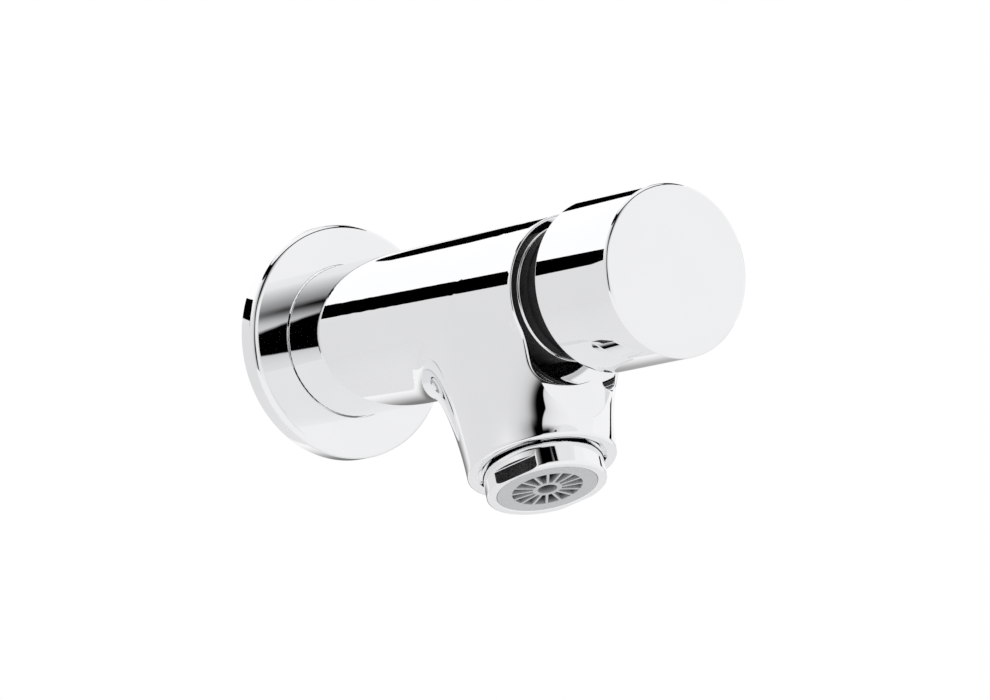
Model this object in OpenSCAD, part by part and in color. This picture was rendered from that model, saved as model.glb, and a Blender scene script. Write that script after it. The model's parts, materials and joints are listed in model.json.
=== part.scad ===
// Push timed wall tap: a straight barrel on a wall flange, a waisted spout with an aerator,
// and a push button that works a slow-closing cartridge.
// Origin: on the barrel's axis, at the wall. The tap stands out along -Y, and +Z is up.

/* [Wall flange] */
// Outer diameter of the flange
flange_d = 48; // [42:0.5:70]
// How far the flange stands off the wall
flange_depth = 4.2; // [3.4:0.1:10]
// Sheet thickness of the flange
flange_wall = 1; // [0.6:0.1:1.6]
// Bevel on the flange's front edge
flange_bevel = 0.3; // [0.1:0.1:0.5]
// Gap all round between the flange and the barrel
flange_gap = 0.15; // [0.05:0.05:0.4]
// Width of the soft ring behind the flange
wall_seal_w = 5; // [2:0.5:6]

/* [Barrel] */
// Outer diameter of the barrel
barrel_d = 31; // [30:0.5:36]
// Distance from the wall to the barrel's front rim
barrel_len = 80; // [76:1:110]
// Gap between the wall and the back of the barrel
barrel_back = 2; // [1:0.5:3]
// Rounding of the front rim
rim_round = 0.5; // [0.3:0.1:1.6]

/* [Inlet] */
// Outer diameter of the inlet's thread
tail_d = 20.955; // [20:0.005:27]
// Length of the inlet tail behind the wall
tail_len = 16; // [12:1:40]
// Chamfer at the end of the tail
tail_chamfer = 1; // [0.5:0.1:1.5]
// Pitch of the inlet's thread
thread_pitch = 1.814; // [1.4:0.001:2.4]
// Depth of the inlet's thread
thread_depth = 1.16; // [0.5:0.01:1.3]
// Bore of the inlet
inlet_d = 14; // [10:0.5:14.5]
// Bore at the tail's end, for the strainer and the flow regulator
strainer_d = 16; // [15:0.1:17]
// Depth of that bore
strainer_depth = 6.5; // [5:0.1:9]
// Gap all round the strainer and the regulator
strainer_gap = 0.1; // [0.05:0.05:0.2]
// Thickness of the flow regulator
regulator_t = 3; // [2:0.1:4]
// Floor of the regulator's ring channel
regulator_floor = 1.2; // [0.8:0.1:1.5]
// Mean diameter of the regulator's elastic ring
regulator_ring_d = 8; // [6:0.5:9]
// Thickness of the strainer's rim
strainer_rim_t = 2; // [1:0.1:2.5]
// Thickness of the strainer's perforated plate
strainer_plate_t = 0.5; // [0.3:0.1:1]

/* [Spout] */
// Distance from the barrel's front rim back to the centre of the spout's rim
outlet_setback = 10.3; // [8:0.1:13]
// Height of the barrel's axis above the centre of the spout's rim
outlet_drop = 33.1; // [30:0.1:60]
// Forward lean of the outlet, in degrees
outlet_tilt = 18.9; // [10:0.1:25]
// Outer diameter of the spout's rim
spout_rim_d = 29.8; // [28:0.1:34]
// Forward reach of the spout's root beyond the barrel's rim, before the cove cuts it
root_front = 13.7; // [10:0.1:16]
// Distance from the barrel's rim back to the rear of the spout's root
root_back = 47.6; // [42:0.1:54]
// How far the spout's root wraps round the barrel, in degrees each side of its underside
root_wrap = 75.5; // [65:0.5:80]
// Straight rise of the spout's skin above its rim, at the front
rise_front = 5.4; // [3:0.1:8]
// The same rise at the sides
rise_side = 7.1; // [4:0.1:10]
// The same rise at the back
rise_back = 9; // [5:0.1:12]
// Flare of the skin where it runs into the barrel, at the front
flare_front = 5.5; // [3:0.1:8]
// The same flare at the sides
flare_side = 7.8; // [4:0.1:10]
// The same flare at the back
flare_back = 8; // [5:0.1:12]
// Depth by which the skin's upper edge is let into the barrel
root_sink = 0.5; // [0.3:0.1:1]
// Slope at which the skin runs into the barrel, in degrees
root_dip = 12; // [8:1:20]
// Bore of the water passage down the spout
passage_d = 14; // [10:0.5:15]

/* [Aerator] */
// Outer diameter of the aerator's thread and sleeve
aerator_d = 24; // [23:0.5:25]
// Gap all round in the aerator's thread
aerator_gap = 0.05; // [0.05:0.01:0.1]
// Depth of the threaded bore in the spout
aerator_depth = 10; // [8:0.5:12]
// How far the aerator stands out of the spout's rim
aerator_out = 4.9; // [3.5:0.1:8]
// Width of the open groove between the sleeve and the spout's rim
recess_gap = 0.8; // [0.4:0.1:1.2]
// Depth of that groove
recess_depth = 2.2; // [1:0.1:3]
// Size across the spanner flats
flats_af = 22; // [21.5:0.1:22.6]
// Height of the spanner flats
flats_h = 3.4; // [2:0.1:3.8]
// Turn of the spanner flats about the outlet, in degrees
flats_turn = -16; // [-90:1:90]
// Chamfer on the sleeve's lower edge
sleeve_chamfer = 0.6; // [0.3:0.1:0.8]
// Wall of the sleeve round the grey insert
housing_wall = 1.95; // [1.6:0.05:2.2]
// Wall of the sleeve at its thread
housing_thread_wall = 1.1; // [0.8:0.1:1.4]
// Width of the insert's shoulder above its ledge
insert_flange_t = 2; // [1:0.1:3]
// Depth of the insert below its ledge, counted from the spout's rim upwards
ledge_up = 2; // [1:0.1:3]
// Diameter over the insert's fins
fins_d = 14.1; // [12:0.1:16]
// Diameter of the insert's hub
hub_d = 5.8; // [4:0.1:7]
// Diameter of the dimple in the hub
dimple_d = 3.9; // [2:0.1:4.5]
// Depth of the dimple
dimple_depth = 1.5; // [0.5:0.1:3]
// Number of fins
fin_count = 16; // [8:1:24]
// Thickness of a fin
fin_t = 0.5; // [0.3:0.05:0.8]
// Height of a fin
fin_h = 5; // [2:0.1:6]
// Thickness of the diffuser plate
diffuser_t = 1.5; // [1:0.1:2]
// Thickness of the screen
screen_t = 1; // [0.6:0.1:1.5]
// Thickness of the aerator's washer
aerator_washer_t = 1.5; // [1:0.1:2]

/* [Cartridge] */
// Bore of the cartridge chamber
chamber_d = 25; // [24:0.5:26]
// Gap all round between the cartridge and the chamber
sleeve_gap = 0.15; // [0.1:0.05:0.2]
// Wall of the cartridge sleeve
sleeve_wall = 2.15; // [1.9:0.05:2.3]
// Length of the outlet windows in the sleeve
window_len = 6.5; // [5:0.1:8]
// Width of an outlet window
window_w = 8; // [5:0.5:10]
// Depth by which the sleeve is thinned at its windows
gallery_depth = 0.95; // [0.5:0.05:1.2]
// Diameter of the valve seat's orifice
seat_d = 10; // [8.5:0.1:11]
// Thickness of the seat's wall
seat_t = 2.4; // [1.5:0.1:4]
// Height of the seat's raised lip
seat_lip_h = 0.6; // [0.3:0.1:1]
// Width of the seat's raised lip
seat_lip_w = 0.9; // [0.6:0.1:1.2]
// Outer diameter of the timing cup
cup_d = 16; // [15:0.1:16.4]
// Wall of the timing cup
cup_wall = 1.2; // [0.9:0.1:1.3]
// Thickness of the cup's floor and flange
cup_floor = 2; // [1.5:0.1:3]
// Number of inlet holes round the cup
cup_holes = 10; // [6:1:14]
// Diameter of an inlet hole
cup_hole_d = 1.9; // [1.2:0.1:2]
// Thickness of the cartridge gasket
gasket_t = 1.2; // [0.8:0.1:2]
// Section of the rings on the sleeve
sleeve_ring_d = 1.36; // [1.2:0.02:1.4]
// Section of the ring on the gland
gland_ring_d = 1.16; // [1:0.02:1.3]
// Section of the ring on the stem
stem_ring_d = 1.4; // [1.2:0.05:1.8]
// Length of the gland's spigot
gland_spigot = 3.5; // [3:0.1:5]
// Thickness of the gland's flange
gland_flange_t = 2; // [1.5:0.1:3]
// Length of the retaining nut's thread
nut_len = 7; // [6:0.5:9]
// Bore of the retaining nut
nut_bore_d = 18.2; // [17:0.1:19]
// Diameter of the nut's bright lip
nut_lip_d = 27.2; // [27:0.1:28.6]
// Thickness of that lip
nut_lip_t = 0.9; // [0.6:0.1:1.5]

/* [Piston] */
// Travel of the button and the piston
travel = 7; // [5:0.5:7]
// Diameter of the stem
stem_d = 6; // [5:0.1:6.5]
// Diameter of the stem's threaded ends
stem_thread_d = 4; // [3:0.1:4.4]
// Running clearance all round the stem
stem_gap = 0.06; // [0.03:0.01:0.1]
// Length of the piston behind its flange
piston_len = 14; // [13:0.5:16]
// Gap all round between the piston and the cup
piston_gap = 0.3; // [0.2:0.05:0.35]
// Thickness of the piston's flange
piston_flange_t = 1.6; // [1.2:0.1:3]
// Diameter of the piston's flange and its washer
piston_flange_d = 15.2; // [14.6:0.1:16]
// Depth of the stem's thread in the piston
stem_thread_len = 4; // [3:0.1:4.2]
// Depth of the spring pocket in the piston
pocket_depth = 8.8; // [8:0.1:9]
// Diameter of the spring pocket
pocket_d = 10.4; // [10:0.1:10.6]
// Thickness of the seat washer
washer_t = 2; // [1.5:0.1:3]
// Gap between the seat washer and the seat at rest
washer_gap = 0.05; // [0.02:0.01:0.1]
// Length of the cup seal
cup_seal_len = 2.8; // [2:0.1:3.2]
// Diameter of the bleed hole
bleed_d = 2.4; // [2:0.1:2.6]
// Diameter of the jet pin
jet_pin_d = 1.8; // [1.2:0.1:1.8]
// Wire of the return spring
spring_wire = 0.9; // [0.7:0.05:1]
// Number of turns of the return spring
spring_turns = 7; // [5:1:8]

/* [Button] */
// Diameter of the button
button_d = 34; // [33:0.1:36]
// Length of the button
button_len = 23; // [21:0.5:30]
// Gap between the barrel's rim and the button at rest
button_gap = 10; // [9:0.5:14]
// Side wall of the button
button_wall = 1.5; // [1:0.1:1.6]
// Face thickness of the button
button_face_t = 2.2; // [1.5:0.1:3]
// Bevel on the button's edges
button_bevel = 0.4; // [0.2:0.1:0.8]
// Gap all round between the button and the lip of the cove in the spout's front
cove_gap = 0.3; // [0.2:0.05:1]
// Depth of the cove's gutter below that lip
cove_gutter = 2.6; // [1.5:0.1:3]
// Rounding at the back of the gutter
cove_fillet = 2.2; // [1:0.1:3]
// Distance from the barrel's rim to the front edge of the gutter
cove_front = 8.9; // [7.5:0.1:10]
// Outer diameter of the guide collar
collar_d = 26.4; // [25:0.1:27]
// Wall of the guide collar
collar_wall = 1.5; // [1.2:0.1:2]
// Length of the guide collar in front of the nut
collar_len = 15; // [13:0.5:16]
// Thickness of the collar's inner web
collar_web_t = 3; // [2:0.1:4]
// Length of the collar's spigot in the nut
collar_spigot = 5.5; // [4:0.1:6]
// Number of snap lugs on the collar
lug_count = 3; // [2:1:6]
// Thickness of the hub's disc
hub_disc_t = 4; // [3.6:0.1:5]
// Diameter of the hub's boss
hub_boss_d = 10; // [8:0.1:12]
// Length of the hub's boss
hub_boss_len = 9.8; // [9:0.1:11]
// Wire of the button's clip
clip_wire = 0.9; // [0.7:0.05:1]
// Size across the flats of the stem's nut
stem_nut_af = 7; // [6.4:0.1:8]
// Height of the stem's nut
stem_nut_h = 2.9; // [2:0.1:3]

/* [Hidden] */
$fn = 96;
eps = 0.01;
barrel_r = barrel_d / 2;
flange_r = flange_d / 2;
tail_r = tail_d / 2;
thread_land = thread_pitch / 6;
thread_turns = floor((tail_len - tail_chamfer) / thread_pitch - 0.25);

// Spout: the rim's centre, the outlet's direction and the direction of the rim's front edge
outlet_reach = barrel_len - outlet_setback;
rim_c = [0, -outlet_reach, -outlet_drop];
outlet_dir = [0, -sin(outlet_tilt), -cos(outlet_tilt)];
rim_front = [0, -cos(outlet_tilt), sin(outlet_tilt)];
root_mid = barrel_len + (root_front - root_back) / 2;
root_half = (root_front + root_back) / 2;
root_r = barrel_r - root_sink;
root_floor = -1;
root_inset = 0.9;
skin_sides = 64;
skin_rows = 12;
passage_up = outlet_drop / cos(outlet_tilt) - 9;

// Aerator, measured along the outlet from the spout's rim
aerator_r = aerator_d / 2;
aerator_bore_r = aerator_r + aerator_gap;
housing_top = -aerator_depth + aerator_washer_t;
insert_r = aerator_r - housing_wall;
shoulder_r = aerator_r - housing_thread_wall;
shoulder_fit_r = shoulder_r - 2 * aerator_gap;
insert_top = -ledge_up - insert_flange_t;
diffuser_top = insert_top - diffuser_t;
screen_top = diffuser_top - screen_t;
hole_r = 0.5;

// Cartridge, measured from the wall along the barrel
chamber_r = chamber_d / 2;
sleeve_r = chamber_r - sleeve_gap;
sleeve_in_r = sleeve_r - sleeve_wall;
part_gap = 0.1;
gland_front = barrel_len - nut_len;
sleeve_front = gland_front - gland_flange_t;
window_front = sleeve_front - gland_spigot - 1;
window_back = window_front - window_len;
seat_front = window_back - 0.6;
seat_back = seat_front - seat_t;
seat_at = seat_back - seat_lip_h;
washer_front = seat_at - washer_gap;
washer_back = washer_front - washer_t;
piston_shoulder = washer_back - piston_flange_t;
piston_back = piston_shoulder - piston_len;
cup_front = piston_shoulder - travel - 0.8;
cup_bottom = piston_back - travel - 1;
cup_back = cup_bottom - cup_floor;
chamber_back = cup_back - gasket_t;
gasket_in_r = sleeve_in_r + 0.4;
plenum_r = sleeve_in_r + 0.2;
plenum_len = 6;
seat_r = seat_d / 2;
cup_r = cup_d / 2;
cup_in_r = cup_r - cup_wall;
ring_groove_gap = 0.04;
sleeve_ring_groove_r = chamber_r - 0.05 - sleeve_ring_d - ring_groove_gap;
rear_ring_at = seat_back - 4;
front_ring_at = sleeve_front - 2;
groove_w = 1.2;

// Piston and stem
piston_r = cup_in_r - piston_gap;
piston_flange_r = piston_flange_d / 2;
stem_r = stem_d / 2;
stem_thread_r = stem_thread_d / 2;
thread_gap = 0.05;
pocket_end = piston_back + pocket_depth;
bleed_end = pocket_end + 1.8;
stem_back = washer_back - stem_thread_len;
seal_at = piston_back + 1.6;
seal_groove_r = piston_r - 0.6;
jet_tip = pocket_end - travel + 0.9;
spring_r = pocket_d / 2 - 0.3 - spring_wire / 2;

// Button
button_r = button_d / 2;
button_back = barrel_len + button_gap;
button_front = button_back + button_len;
button_in_r = button_r - button_wall;
ceiling = button_front - button_face_t;
hub_back = ceiling - hub_disc_t;
boss_back = hub_back - hub_boss_len;
hub_r = button_in_r - 0.15;
clip_at = hub_back + hub_disc_t / 2;
clip_r = hub_r - 0.05;
clip_groove_w = clip_wire + 0.2;
hub_windows = 6;
collar_back = barrel_len + nut_lip_t;
collar_front = collar_back + collar_len;
collar_r = collar_d / 2;
nut_bore_r = nut_bore_d / 2;
nut_thread_r = chamber_r - part_gap;
stem_nut_back = ceiling - stem_nut_h - 0.4;
cove_r = button_r + cove_gap;
gutter_r = cove_r + cove_gutter;
cove_steps = 6;

// Turns a piece drawn along +Z, with z as the distance from the wall, onto the barrel's axis
module on_axis() {
    rotate([90, 0, 0]) children();
}

// Turns a piece drawn along +Z, with z as the distance out of the spout's rim, onto the outlet
module at_outlet() {
    translate(rim_c) rotate([180 - outlet_tilt, 0, 0]) children();
}

// A solid cylinder between two heights
module rod(r, z0, z1) {
    translate([0, 0, z0]) cylinder(r = r, h = z1 - z0);
}

// A tube between two heights
module tube(r_out, r_in, z0, z1) {
    difference() {
        rod(r_out, z0, z1);
        rod(r_in, z0 - 1, z1 + 1);
    }
}

// A round ring of wire: mean radius r, section d, at height z
module ring(r, d, z) {
    translate([0, 0, z]) rotate_extrude() translate([r, 0]) circle(d = d, $fn = 32);
}

// Holes on a circle
module hole_circle(count, r, d, z0, z1) {
    for (i = [0:count - 1]) rotate(360 * i / count) translate([r, 0, 0]) rod(d / 2, z0, z1);
}

// Holes that fill a disc, in rings one pitch apart
module hole_field(rings, pitch, d, z0, z1) {
    rod(d / 2, z0, z1);
    for (k = [1:rings]) hole_circle(6 * k, k * pitch, d, z0, z1);
}

// The spout's skin: each line runs from the rim up to the barrel as one cubic curve
function unit(v) = v / norm(v);
function blend(c, front, side, back) =
    let (g = (1 + c) / 2, middle = 2 * side - (front + back) / 2)
    front * g * g + 2 * middle * g * (1 - g) + back * (1 - g) * (1 - g);
function cubic(p, u) =
    pow(1 - u, 3) * p[0] + 3 * u * pow(1 - u, 2) * p[1] + 3 * u * u * (1 - u) * p[2] + pow(u, 3) * p[3];
function skin_line(a) =
    let (c = cos(a), s = sin(a), wrap = root_wrap * s)
    let (low = rim_c + spout_rim_d / 2 * (c * rim_front + s * [1, 0, 0]))
    let (high = [root_r * sin(wrap), -(root_mid + root_half * c), -root_r * cos(wrap)])
    let (along = unit(s * [cos(wrap), 0, sin(wrap)] + c * [0, -1, 0]))
    let (run = cos(root_dip) * along + sin(root_dip) * [-sin(wrap), 0, cos(wrap)])
    [low, low - blend(c, rise_front, rise_side, rise_back) * outlet_dir,
        high - blend(c, flare_front, flare_side, flare_back) * run, high];
function skin_roof(a) =
    [root_inset * root_r * sin(root_wrap * sin(a)), -(root_mid + root_inset * root_half * cos(a)), root_floor];

module spout_skin() {
    step = 360 / skin_sides;
    lines = [for (i = [0:skin_sides - 1]) skin_line(i * step)];
    rows = [for (j = [0:skin_rows]) [for (line = lines) cubic(line, j / skin_rows)]];
    roof = [for (i = [0:skin_sides - 1]) skin_roof(i * step)];
    rings = concat(rows, [roof]);
    points = [for (row = rings) for (p = row) p];
    n = skin_sides;
    last = len(rings) - 1;
    sides = [for (j = [0:last - 1]) for (i = [0:n - 1]) for (half = [0, 1])
        let (k = (i + 1) % n)
        half == 0 ? [j * n + i, (j + 1) * n + i, j * n + k] : [j * n + k, (j + 1) * n + i, (j + 1) * n + k]];
    floor_face = [for (i = [0:n - 1]) i];
    roof_face = [for (i = [0:n - 1]) last * n + n - 1 - i];
    polyhedron(points, concat(sides, [floor_face, roof_face]));
}

// The round cove that clears the button in front of the barrel's rim: a gutter whose front edge rises
module button_cove() {
    flat_r = gutter_r - cove_fillet;
    bottom = barrel_len + cove_fillet;
    front = barrel_len + cove_front;
    rise = front - bottom;
    slope = [[gutter_r, bottom], [gutter_r, bottom + 0.45 * rise],
        [cove_r + cove_gutter / 2, front - 0.34 * rise], [cove_r, front]];
    back_round = [for (k = [0:cove_steps]) let (a = 90 * k / cove_steps)
        [flat_r + cove_fillet * sin(a), bottom - cove_fillet * cos(a)]];
    front_slope = [for (k = [1:cove_steps]) cubic(slope, k / cove_steps)];
    rotate_extrude() polygon(concat([[0, button_front], [0, barrel_len]], back_round, front_slope,
        [[cove_r, button_front]]));
}

// The barrel with its rounded front rim, and the threaded inlet tail
module barrel_blank() {
    rotate_extrude() difference() {
        translate([0, barrel_back]) square([barrel_r, barrel_len - barrel_back]);
        translate([barrel_r - rim_round, barrel_len - rim_round]) difference() {
            square(rim_round + 1);
            circle(r = rim_round);
        }
    }
    rotate_extrude() difference() {
        polygon([[0, -tail_len], [tail_r - tail_chamfer, -tail_len], [tail_r, tail_chamfer - tail_len],
            [tail_r, barrel_back + 1], [0, barrel_back + 1]]);
        for (k = [1:thread_turns]) translate([tail_r, (0.28 - k) * thread_pitch]) thread_groove();
    }
}

// Section of one groove of the thread; its turns are plain rings
module thread_groove() {
    half = (thread_pitch - thread_land) / 2;
    polygon([[eps, -half], [-thread_depth, -thread_land / 2], [-thread_depth, thread_land / 2], [eps, half]]);
}

module body_bores() {
    rod(strainer_d / 2, -tail_len - 1, strainer_depth - tail_len);
    rod(inlet_d / 2, -tail_len - 1, chamber_back);
    rod(plenum_r, chamber_back - plenum_len, chamber_back + 1);
    rod(chamber_r, chamber_back, barrel_len + 1);
}

module outlet_bores() {
    rod(aerator_r + recess_gap, -recess_depth, 1);
    rod(aerator_bore_r, -aerator_depth, 1);
    rod(passage_d / 2, -passage_up, 1 - aerator_depth);
}

module tap_body() {
    color("gainsboro") difference() {
        union() {
            on_axis() barrel_blank();
            difference() {
                spout_skin();
                on_axis() button_cove();
            }
        }
        on_axis() body_bores();
        at_outlet() outlet_bores();
    }
}

module wall_flange() {
    hole_r = barrel_r + flange_gap;
    color("silver") on_axis() rotate_extrude() polygon([[flange_r - flange_wall, 0], [flange_r, 0],
        [flange_r, flange_depth - flange_bevel], [flange_r - flange_bevel, flange_depth], [hole_r, flange_depth],
        [hole_r, flange_depth - flange_wall], [flange_r - flange_wall, flange_depth - flange_wall]]);
}

module wall_seal() {
    seal_r = flange_r - flange_wall - part_gap;
    color("dimgray") on_axis() tube(seal_r, seal_r - wall_seal_w, 0, flange_depth - flange_wall);
}

module inlet_strainer() {
    back = strainer_depth - tail_len - regulator_t;
    top = back - strainer_rim_t;
    plate = back - strainer_rim_t / 2;
    r = strainer_d / 2 - strainer_gap;
    color("lightsteelblue") on_axis() {
        tube(r, r - 1.2, top, back);
        difference() {
            rod(r - 0.6, plate - strainer_plate_t / 2, plate + strainer_plate_t / 2);
            hole_field(3, 1.8, 2 * hole_r, plate - 1, plate + 1);
        }
    }
}

module flow_regulator() {
    front = strainer_depth - tail_len;
    back = front - regulator_t;
    channel = regulator_t - regulator_floor;
    color("teal") on_axis() difference() {
        rod(strainer_d / 2 - strainer_gap, back, front);
        translate([0, 0, back - 1])
            tube(regulator_ring_d / 2 + 1.1, regulator_ring_d / 2 - 1.1, 0, channel + 1);
        hole_circle(8, regulator_ring_d / 2, 2 * hole_r, back - 1, front + 1);
    }
}

module regulator_ring() {
    floor_at = strainer_depth - tail_len - regulator_floor;
    section = regulator_t - regulator_floor - part_gap;
    color("black") on_axis() ring(regulator_ring_d / 2, section, floor_at - section / 2 - ring_groove_gap);
}

module cartridge_gasket() {
    color("black") on_axis() tube(sleeve_r, gasket_in_r, chamber_back, cup_back);
}

module timing_cup() {
    color("ivory") on_axis() difference() {
        union() {
            rod(sleeve_r, cup_back, cup_bottom);
            tube(cup_r, cup_in_r, cup_bottom - eps, cup_front);
        }
        rod(jet_pin_d / 2 + thread_gap, cup_back - 1, cup_bottom + 1);
        hole_circle(cup_holes, (cup_r + sleeve_in_r) / 2, cup_hole_d, cup_back - 1, cup_bottom + 1);
    }
}

module jet_pin() {
    head_t = gasket_t + 0.2;
    head_r = jet_pin_d;
    color("goldenrod") on_axis() difference() {
        union() {
            rod(head_r, cup_back - head_t, cup_back);
            rod(jet_pin_d / 2, cup_back - eps, jet_tip);
        }
        translate([-head_r - 1, -0.25, cup_back - head_t - 1]) cube([2 * head_r + 2, 0.5, 1.6]);
    }
}

module cartridge_sleeve() {
    color("whitesmoke") on_axis() difference() {
        union() {
            tube(sleeve_r, sleeve_in_r, cup_bottom, sleeve_front);
            tube(sleeve_in_r + eps, seat_r, seat_back, seat_front);
            tube(seat_r + seat_lip_w, seat_r, seat_at, seat_back + eps);
        }
        tube(sleeve_r + 1, sleeve_r - gallery_depth, window_back - 0.4, window_front + 0.4);
        for (a = [0, 90]) rotate(a)
            translate([-sleeve_r - 1, -window_w / 2, window_back]) cube([2 * sleeve_r + 2, window_w, window_len]);
        for (z = [rear_ring_at, front_ring_at])
            tube(sleeve_r + 1, sleeve_ring_groove_r, z - groove_w * 0.65, z + groove_w * 0.65);
    }
}

module sleeve_o_rings() {
    color("black") on_axis() for (z = [rear_ring_at, front_ring_at])
        ring(chamber_r - 0.05 - sleeve_ring_d / 2, sleeve_ring_d, z);
}

module gland_bush() {
    spigot_r = sleeve_in_r - part_gap;
    spigot_mid = sleeve_front - gland_spigot / 2;
    color("goldenrod") on_axis() difference() {
        union() {
            rod(spigot_r, sleeve_front - gland_spigot, sleeve_front + eps);
            rod(sleeve_r, sleeve_front, gland_front);
        }
        rod(stem_r + stem_gap, sleeve_front - gland_spigot - 1, gland_front + 1);
        rod(stem_r + stem_gap + stem_ring_d + ring_groove_gap, spigot_mid - stem_ring_d * 0.55,
            spigot_mid + stem_ring_d * 0.55);
        tube(spigot_r + 1, spigot_r - gland_ring_d + ring_groove_gap, spigot_mid - groove_w * 0.55,
            spigot_mid + groove_w * 0.55);
    }
}

module gland_o_ring() {
    spigot_mid = sleeve_front - gland_spigot / 2;
    color("black") on_axis() ring(sleeve_in_r - ring_groove_gap - gland_ring_d / 2, gland_ring_d - ring_groove_gap,
        spigot_mid);
}

module stem_o_ring() {
    spigot_mid = sleeve_front - gland_spigot / 2;
    color("black") on_axis() ring(stem_r + stem_gap + stem_ring_d / 2, stem_ring_d, spigot_mid);
}

module retaining_nut() {
    color("silver") on_axis() difference() {
        union() {
            rod(nut_thread_r, gland_front, barrel_len + eps);
            rod(nut_lip_d / 2, barrel_len, collar_back);
        }
        rod(nut_bore_r, gland_front - 1, collar_back + 1);
    }
}

module guide_collar() {
    lug_w = 4;
    lug_len = 3.6;
    color("#26282b") on_axis() difference() {
        union() {
            tube(collar_r, collar_r - collar_wall, collar_back, collar_front);
            rod(collar_r - eps, collar_back, collar_back + collar_web_t);
            rod(nut_bore_r - part_gap, collar_back - collar_spigot, collar_back + eps);
            for (i = [0:lug_count - 1]) rotate(360 * i / lug_count + 205)
                translate([collar_r - 0.4, -lug_w / 2, collar_back + 3.6]) cube([0.9, lug_w, lug_len]);
        }
        rod(stem_r + stem_gap, collar_back - collar_spigot - 1, collar_front);
        hole_circle(6, collar_r * 0.6, 3, collar_back - eps, collar_front);
    }
}

// The return spring, a tube swept along its coil, from the cup's floor to the piston's pocket
module return_spring() {
    sides = 6;
    per_turn = 8;
    r = spring_wire / 2;
    z0 = cup_bottom + r + eps;
    z1 = pocket_end - r - eps;
    count = spring_turns * per_turn;
    function on_coil(k) = [spring_r * cos(360 * k / per_turn), spring_r * sin(360 * k / per_turn),
        z0 + (z1 - z0) * k / count];
    points = [for (k = [0:count]) let (c = on_coil(k), out = unit([c.x, c.y, 0])) for (i = [0:sides - 1])
        c + r * (cos(360 * i / sides) * out + sin(360 * i / sides) * [0, 0, 1])];
    walls = [for (k = [0:count - 1]) for (i = [0:sides - 1]) for (half = [0, 1])
        let (a = k * sides + i, b = k * sides + (i + 1) % sides)
        half == 0 ? [a, b, a + sides] : [b, b + sides, a + sides]];
    ends = [[for (i = [0:sides - 1]) sides - 1 - i], [for (i = [0:sides - 1]) count * sides + i]];
    gaps = [for (k = [0:count - per_turn]) norm(on_coil(k + per_turn) - on_coil(k)) - spring_wire];
    echo(spring_least_gap = min(gaps));
    color("lightgray") on_axis() polyhedron(points, concat(walls, ends));
}

module piston() {
    color("ivory") on_axis() difference() {
        union() {
            rod(piston_r, piston_back, piston_shoulder + eps);
            rod(piston_flange_r, piston_shoulder, washer_back);
        }
        rod(pocket_d / 2, piston_back - 1, pocket_end);
        rod(bleed_d / 2, pocket_end - 1, bleed_end);
        translate([0, 0, bleed_end - 0.6]) rotate([0, 90, 0]) rod(hole_r, -piston_r - 1, piston_r + 1);
        rod(stem_thread_r + thread_gap, stem_back - part_gap, washer_back + 1);
        tube(piston_r + 1, seal_groove_r, seal_at, seal_at + cup_seal_len + part_gap);
    }
}

module cup_seal() {
    r_out = cup_in_r - thread_gap;
    r_in = seal_groove_r + thread_gap;
    lip = (r_out - r_in) / 3;
    tip = seal_at + cup_seal_len;
    color("black") on_axis() rotate_extrude() polygon([[r_in, seal_at + thread_gap],
        [r_out - lip, seal_at + thread_gap], [r_out, tip - 0.6], [r_out, tip], [r_out - lip, tip],
        [(r_in + r_out) / 2, tip - 1], [r_in + lip, tip], [r_in, tip]]);
}

module seat_washer() {
    color("black") on_axis()
        tube(piston_flange_r - part_gap, stem_thread_r + thread_gap, washer_back, washer_front);
}

module stem() {
    color("lightgray") on_axis() {
        rod(stem_thread_r, stem_back, washer_front + eps);
        rod(stem_r, washer_front, boss_back);
        rod(stem_thread_r, boss_back - eps, ceiling - part_gap);
    }
}

module push_button() {
    b = button_bevel;
    color("gainsboro") on_axis() difference() {
        rotate_extrude() polygon([[0, button_back], [button_r - b, button_back], [button_r, button_back + b],
            [button_r, button_front - b], [button_r - b, button_front], [0, button_front]]);
        rod(button_in_r, button_back - 1, ceiling);
        rod(button_in_r + clip_wire / 2, clip_at - clip_groove_w / 2, clip_at + clip_groove_w / 2);
    }
}

module button_hub() {
    color("#33363a") on_axis() difference() {
        union() {
            rod(hub_r, hub_back, ceiling);
            rod(hub_boss_d / 2, boss_back, hub_back + eps);
        }
        rod(stem_thread_r + thread_gap, boss_back - 1, ceiling + 1);
        translate([0, 0, stem_nut_back - part_gap])
            cylinder(r = (stem_nut_af / 2 + part_gap) / cos(30), h = hub_disc_t, $fn = 6);
        tube(hub_r + 1, clip_r - clip_wire / 2 - part_gap, clip_at - clip_groove_w / 2,
            clip_at + clip_groove_w / 2);
        hole_circle(hub_windows, (hub_r + hub_boss_d / 2) / 2, 5, hub_back - 1, ceiling + 1);
    }
}

module button_nut() {
    color("goldenrod") on_axis() difference() {
        translate([0, 0, stem_nut_back]) cylinder(r = stem_nut_af / 2 / cos(30), h = stem_nut_h, $fn = 6);
        rod(stem_thread_r + thread_gap, stem_nut_back - 1, ceiling);
    }
}

module button_clip() {
    color("lightgray") on_axis() translate([0, 0, clip_at])
        rotate_extrude(angle = 330) translate([clip_r, 0]) circle(d = clip_wire, $fn = 32);
}

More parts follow.
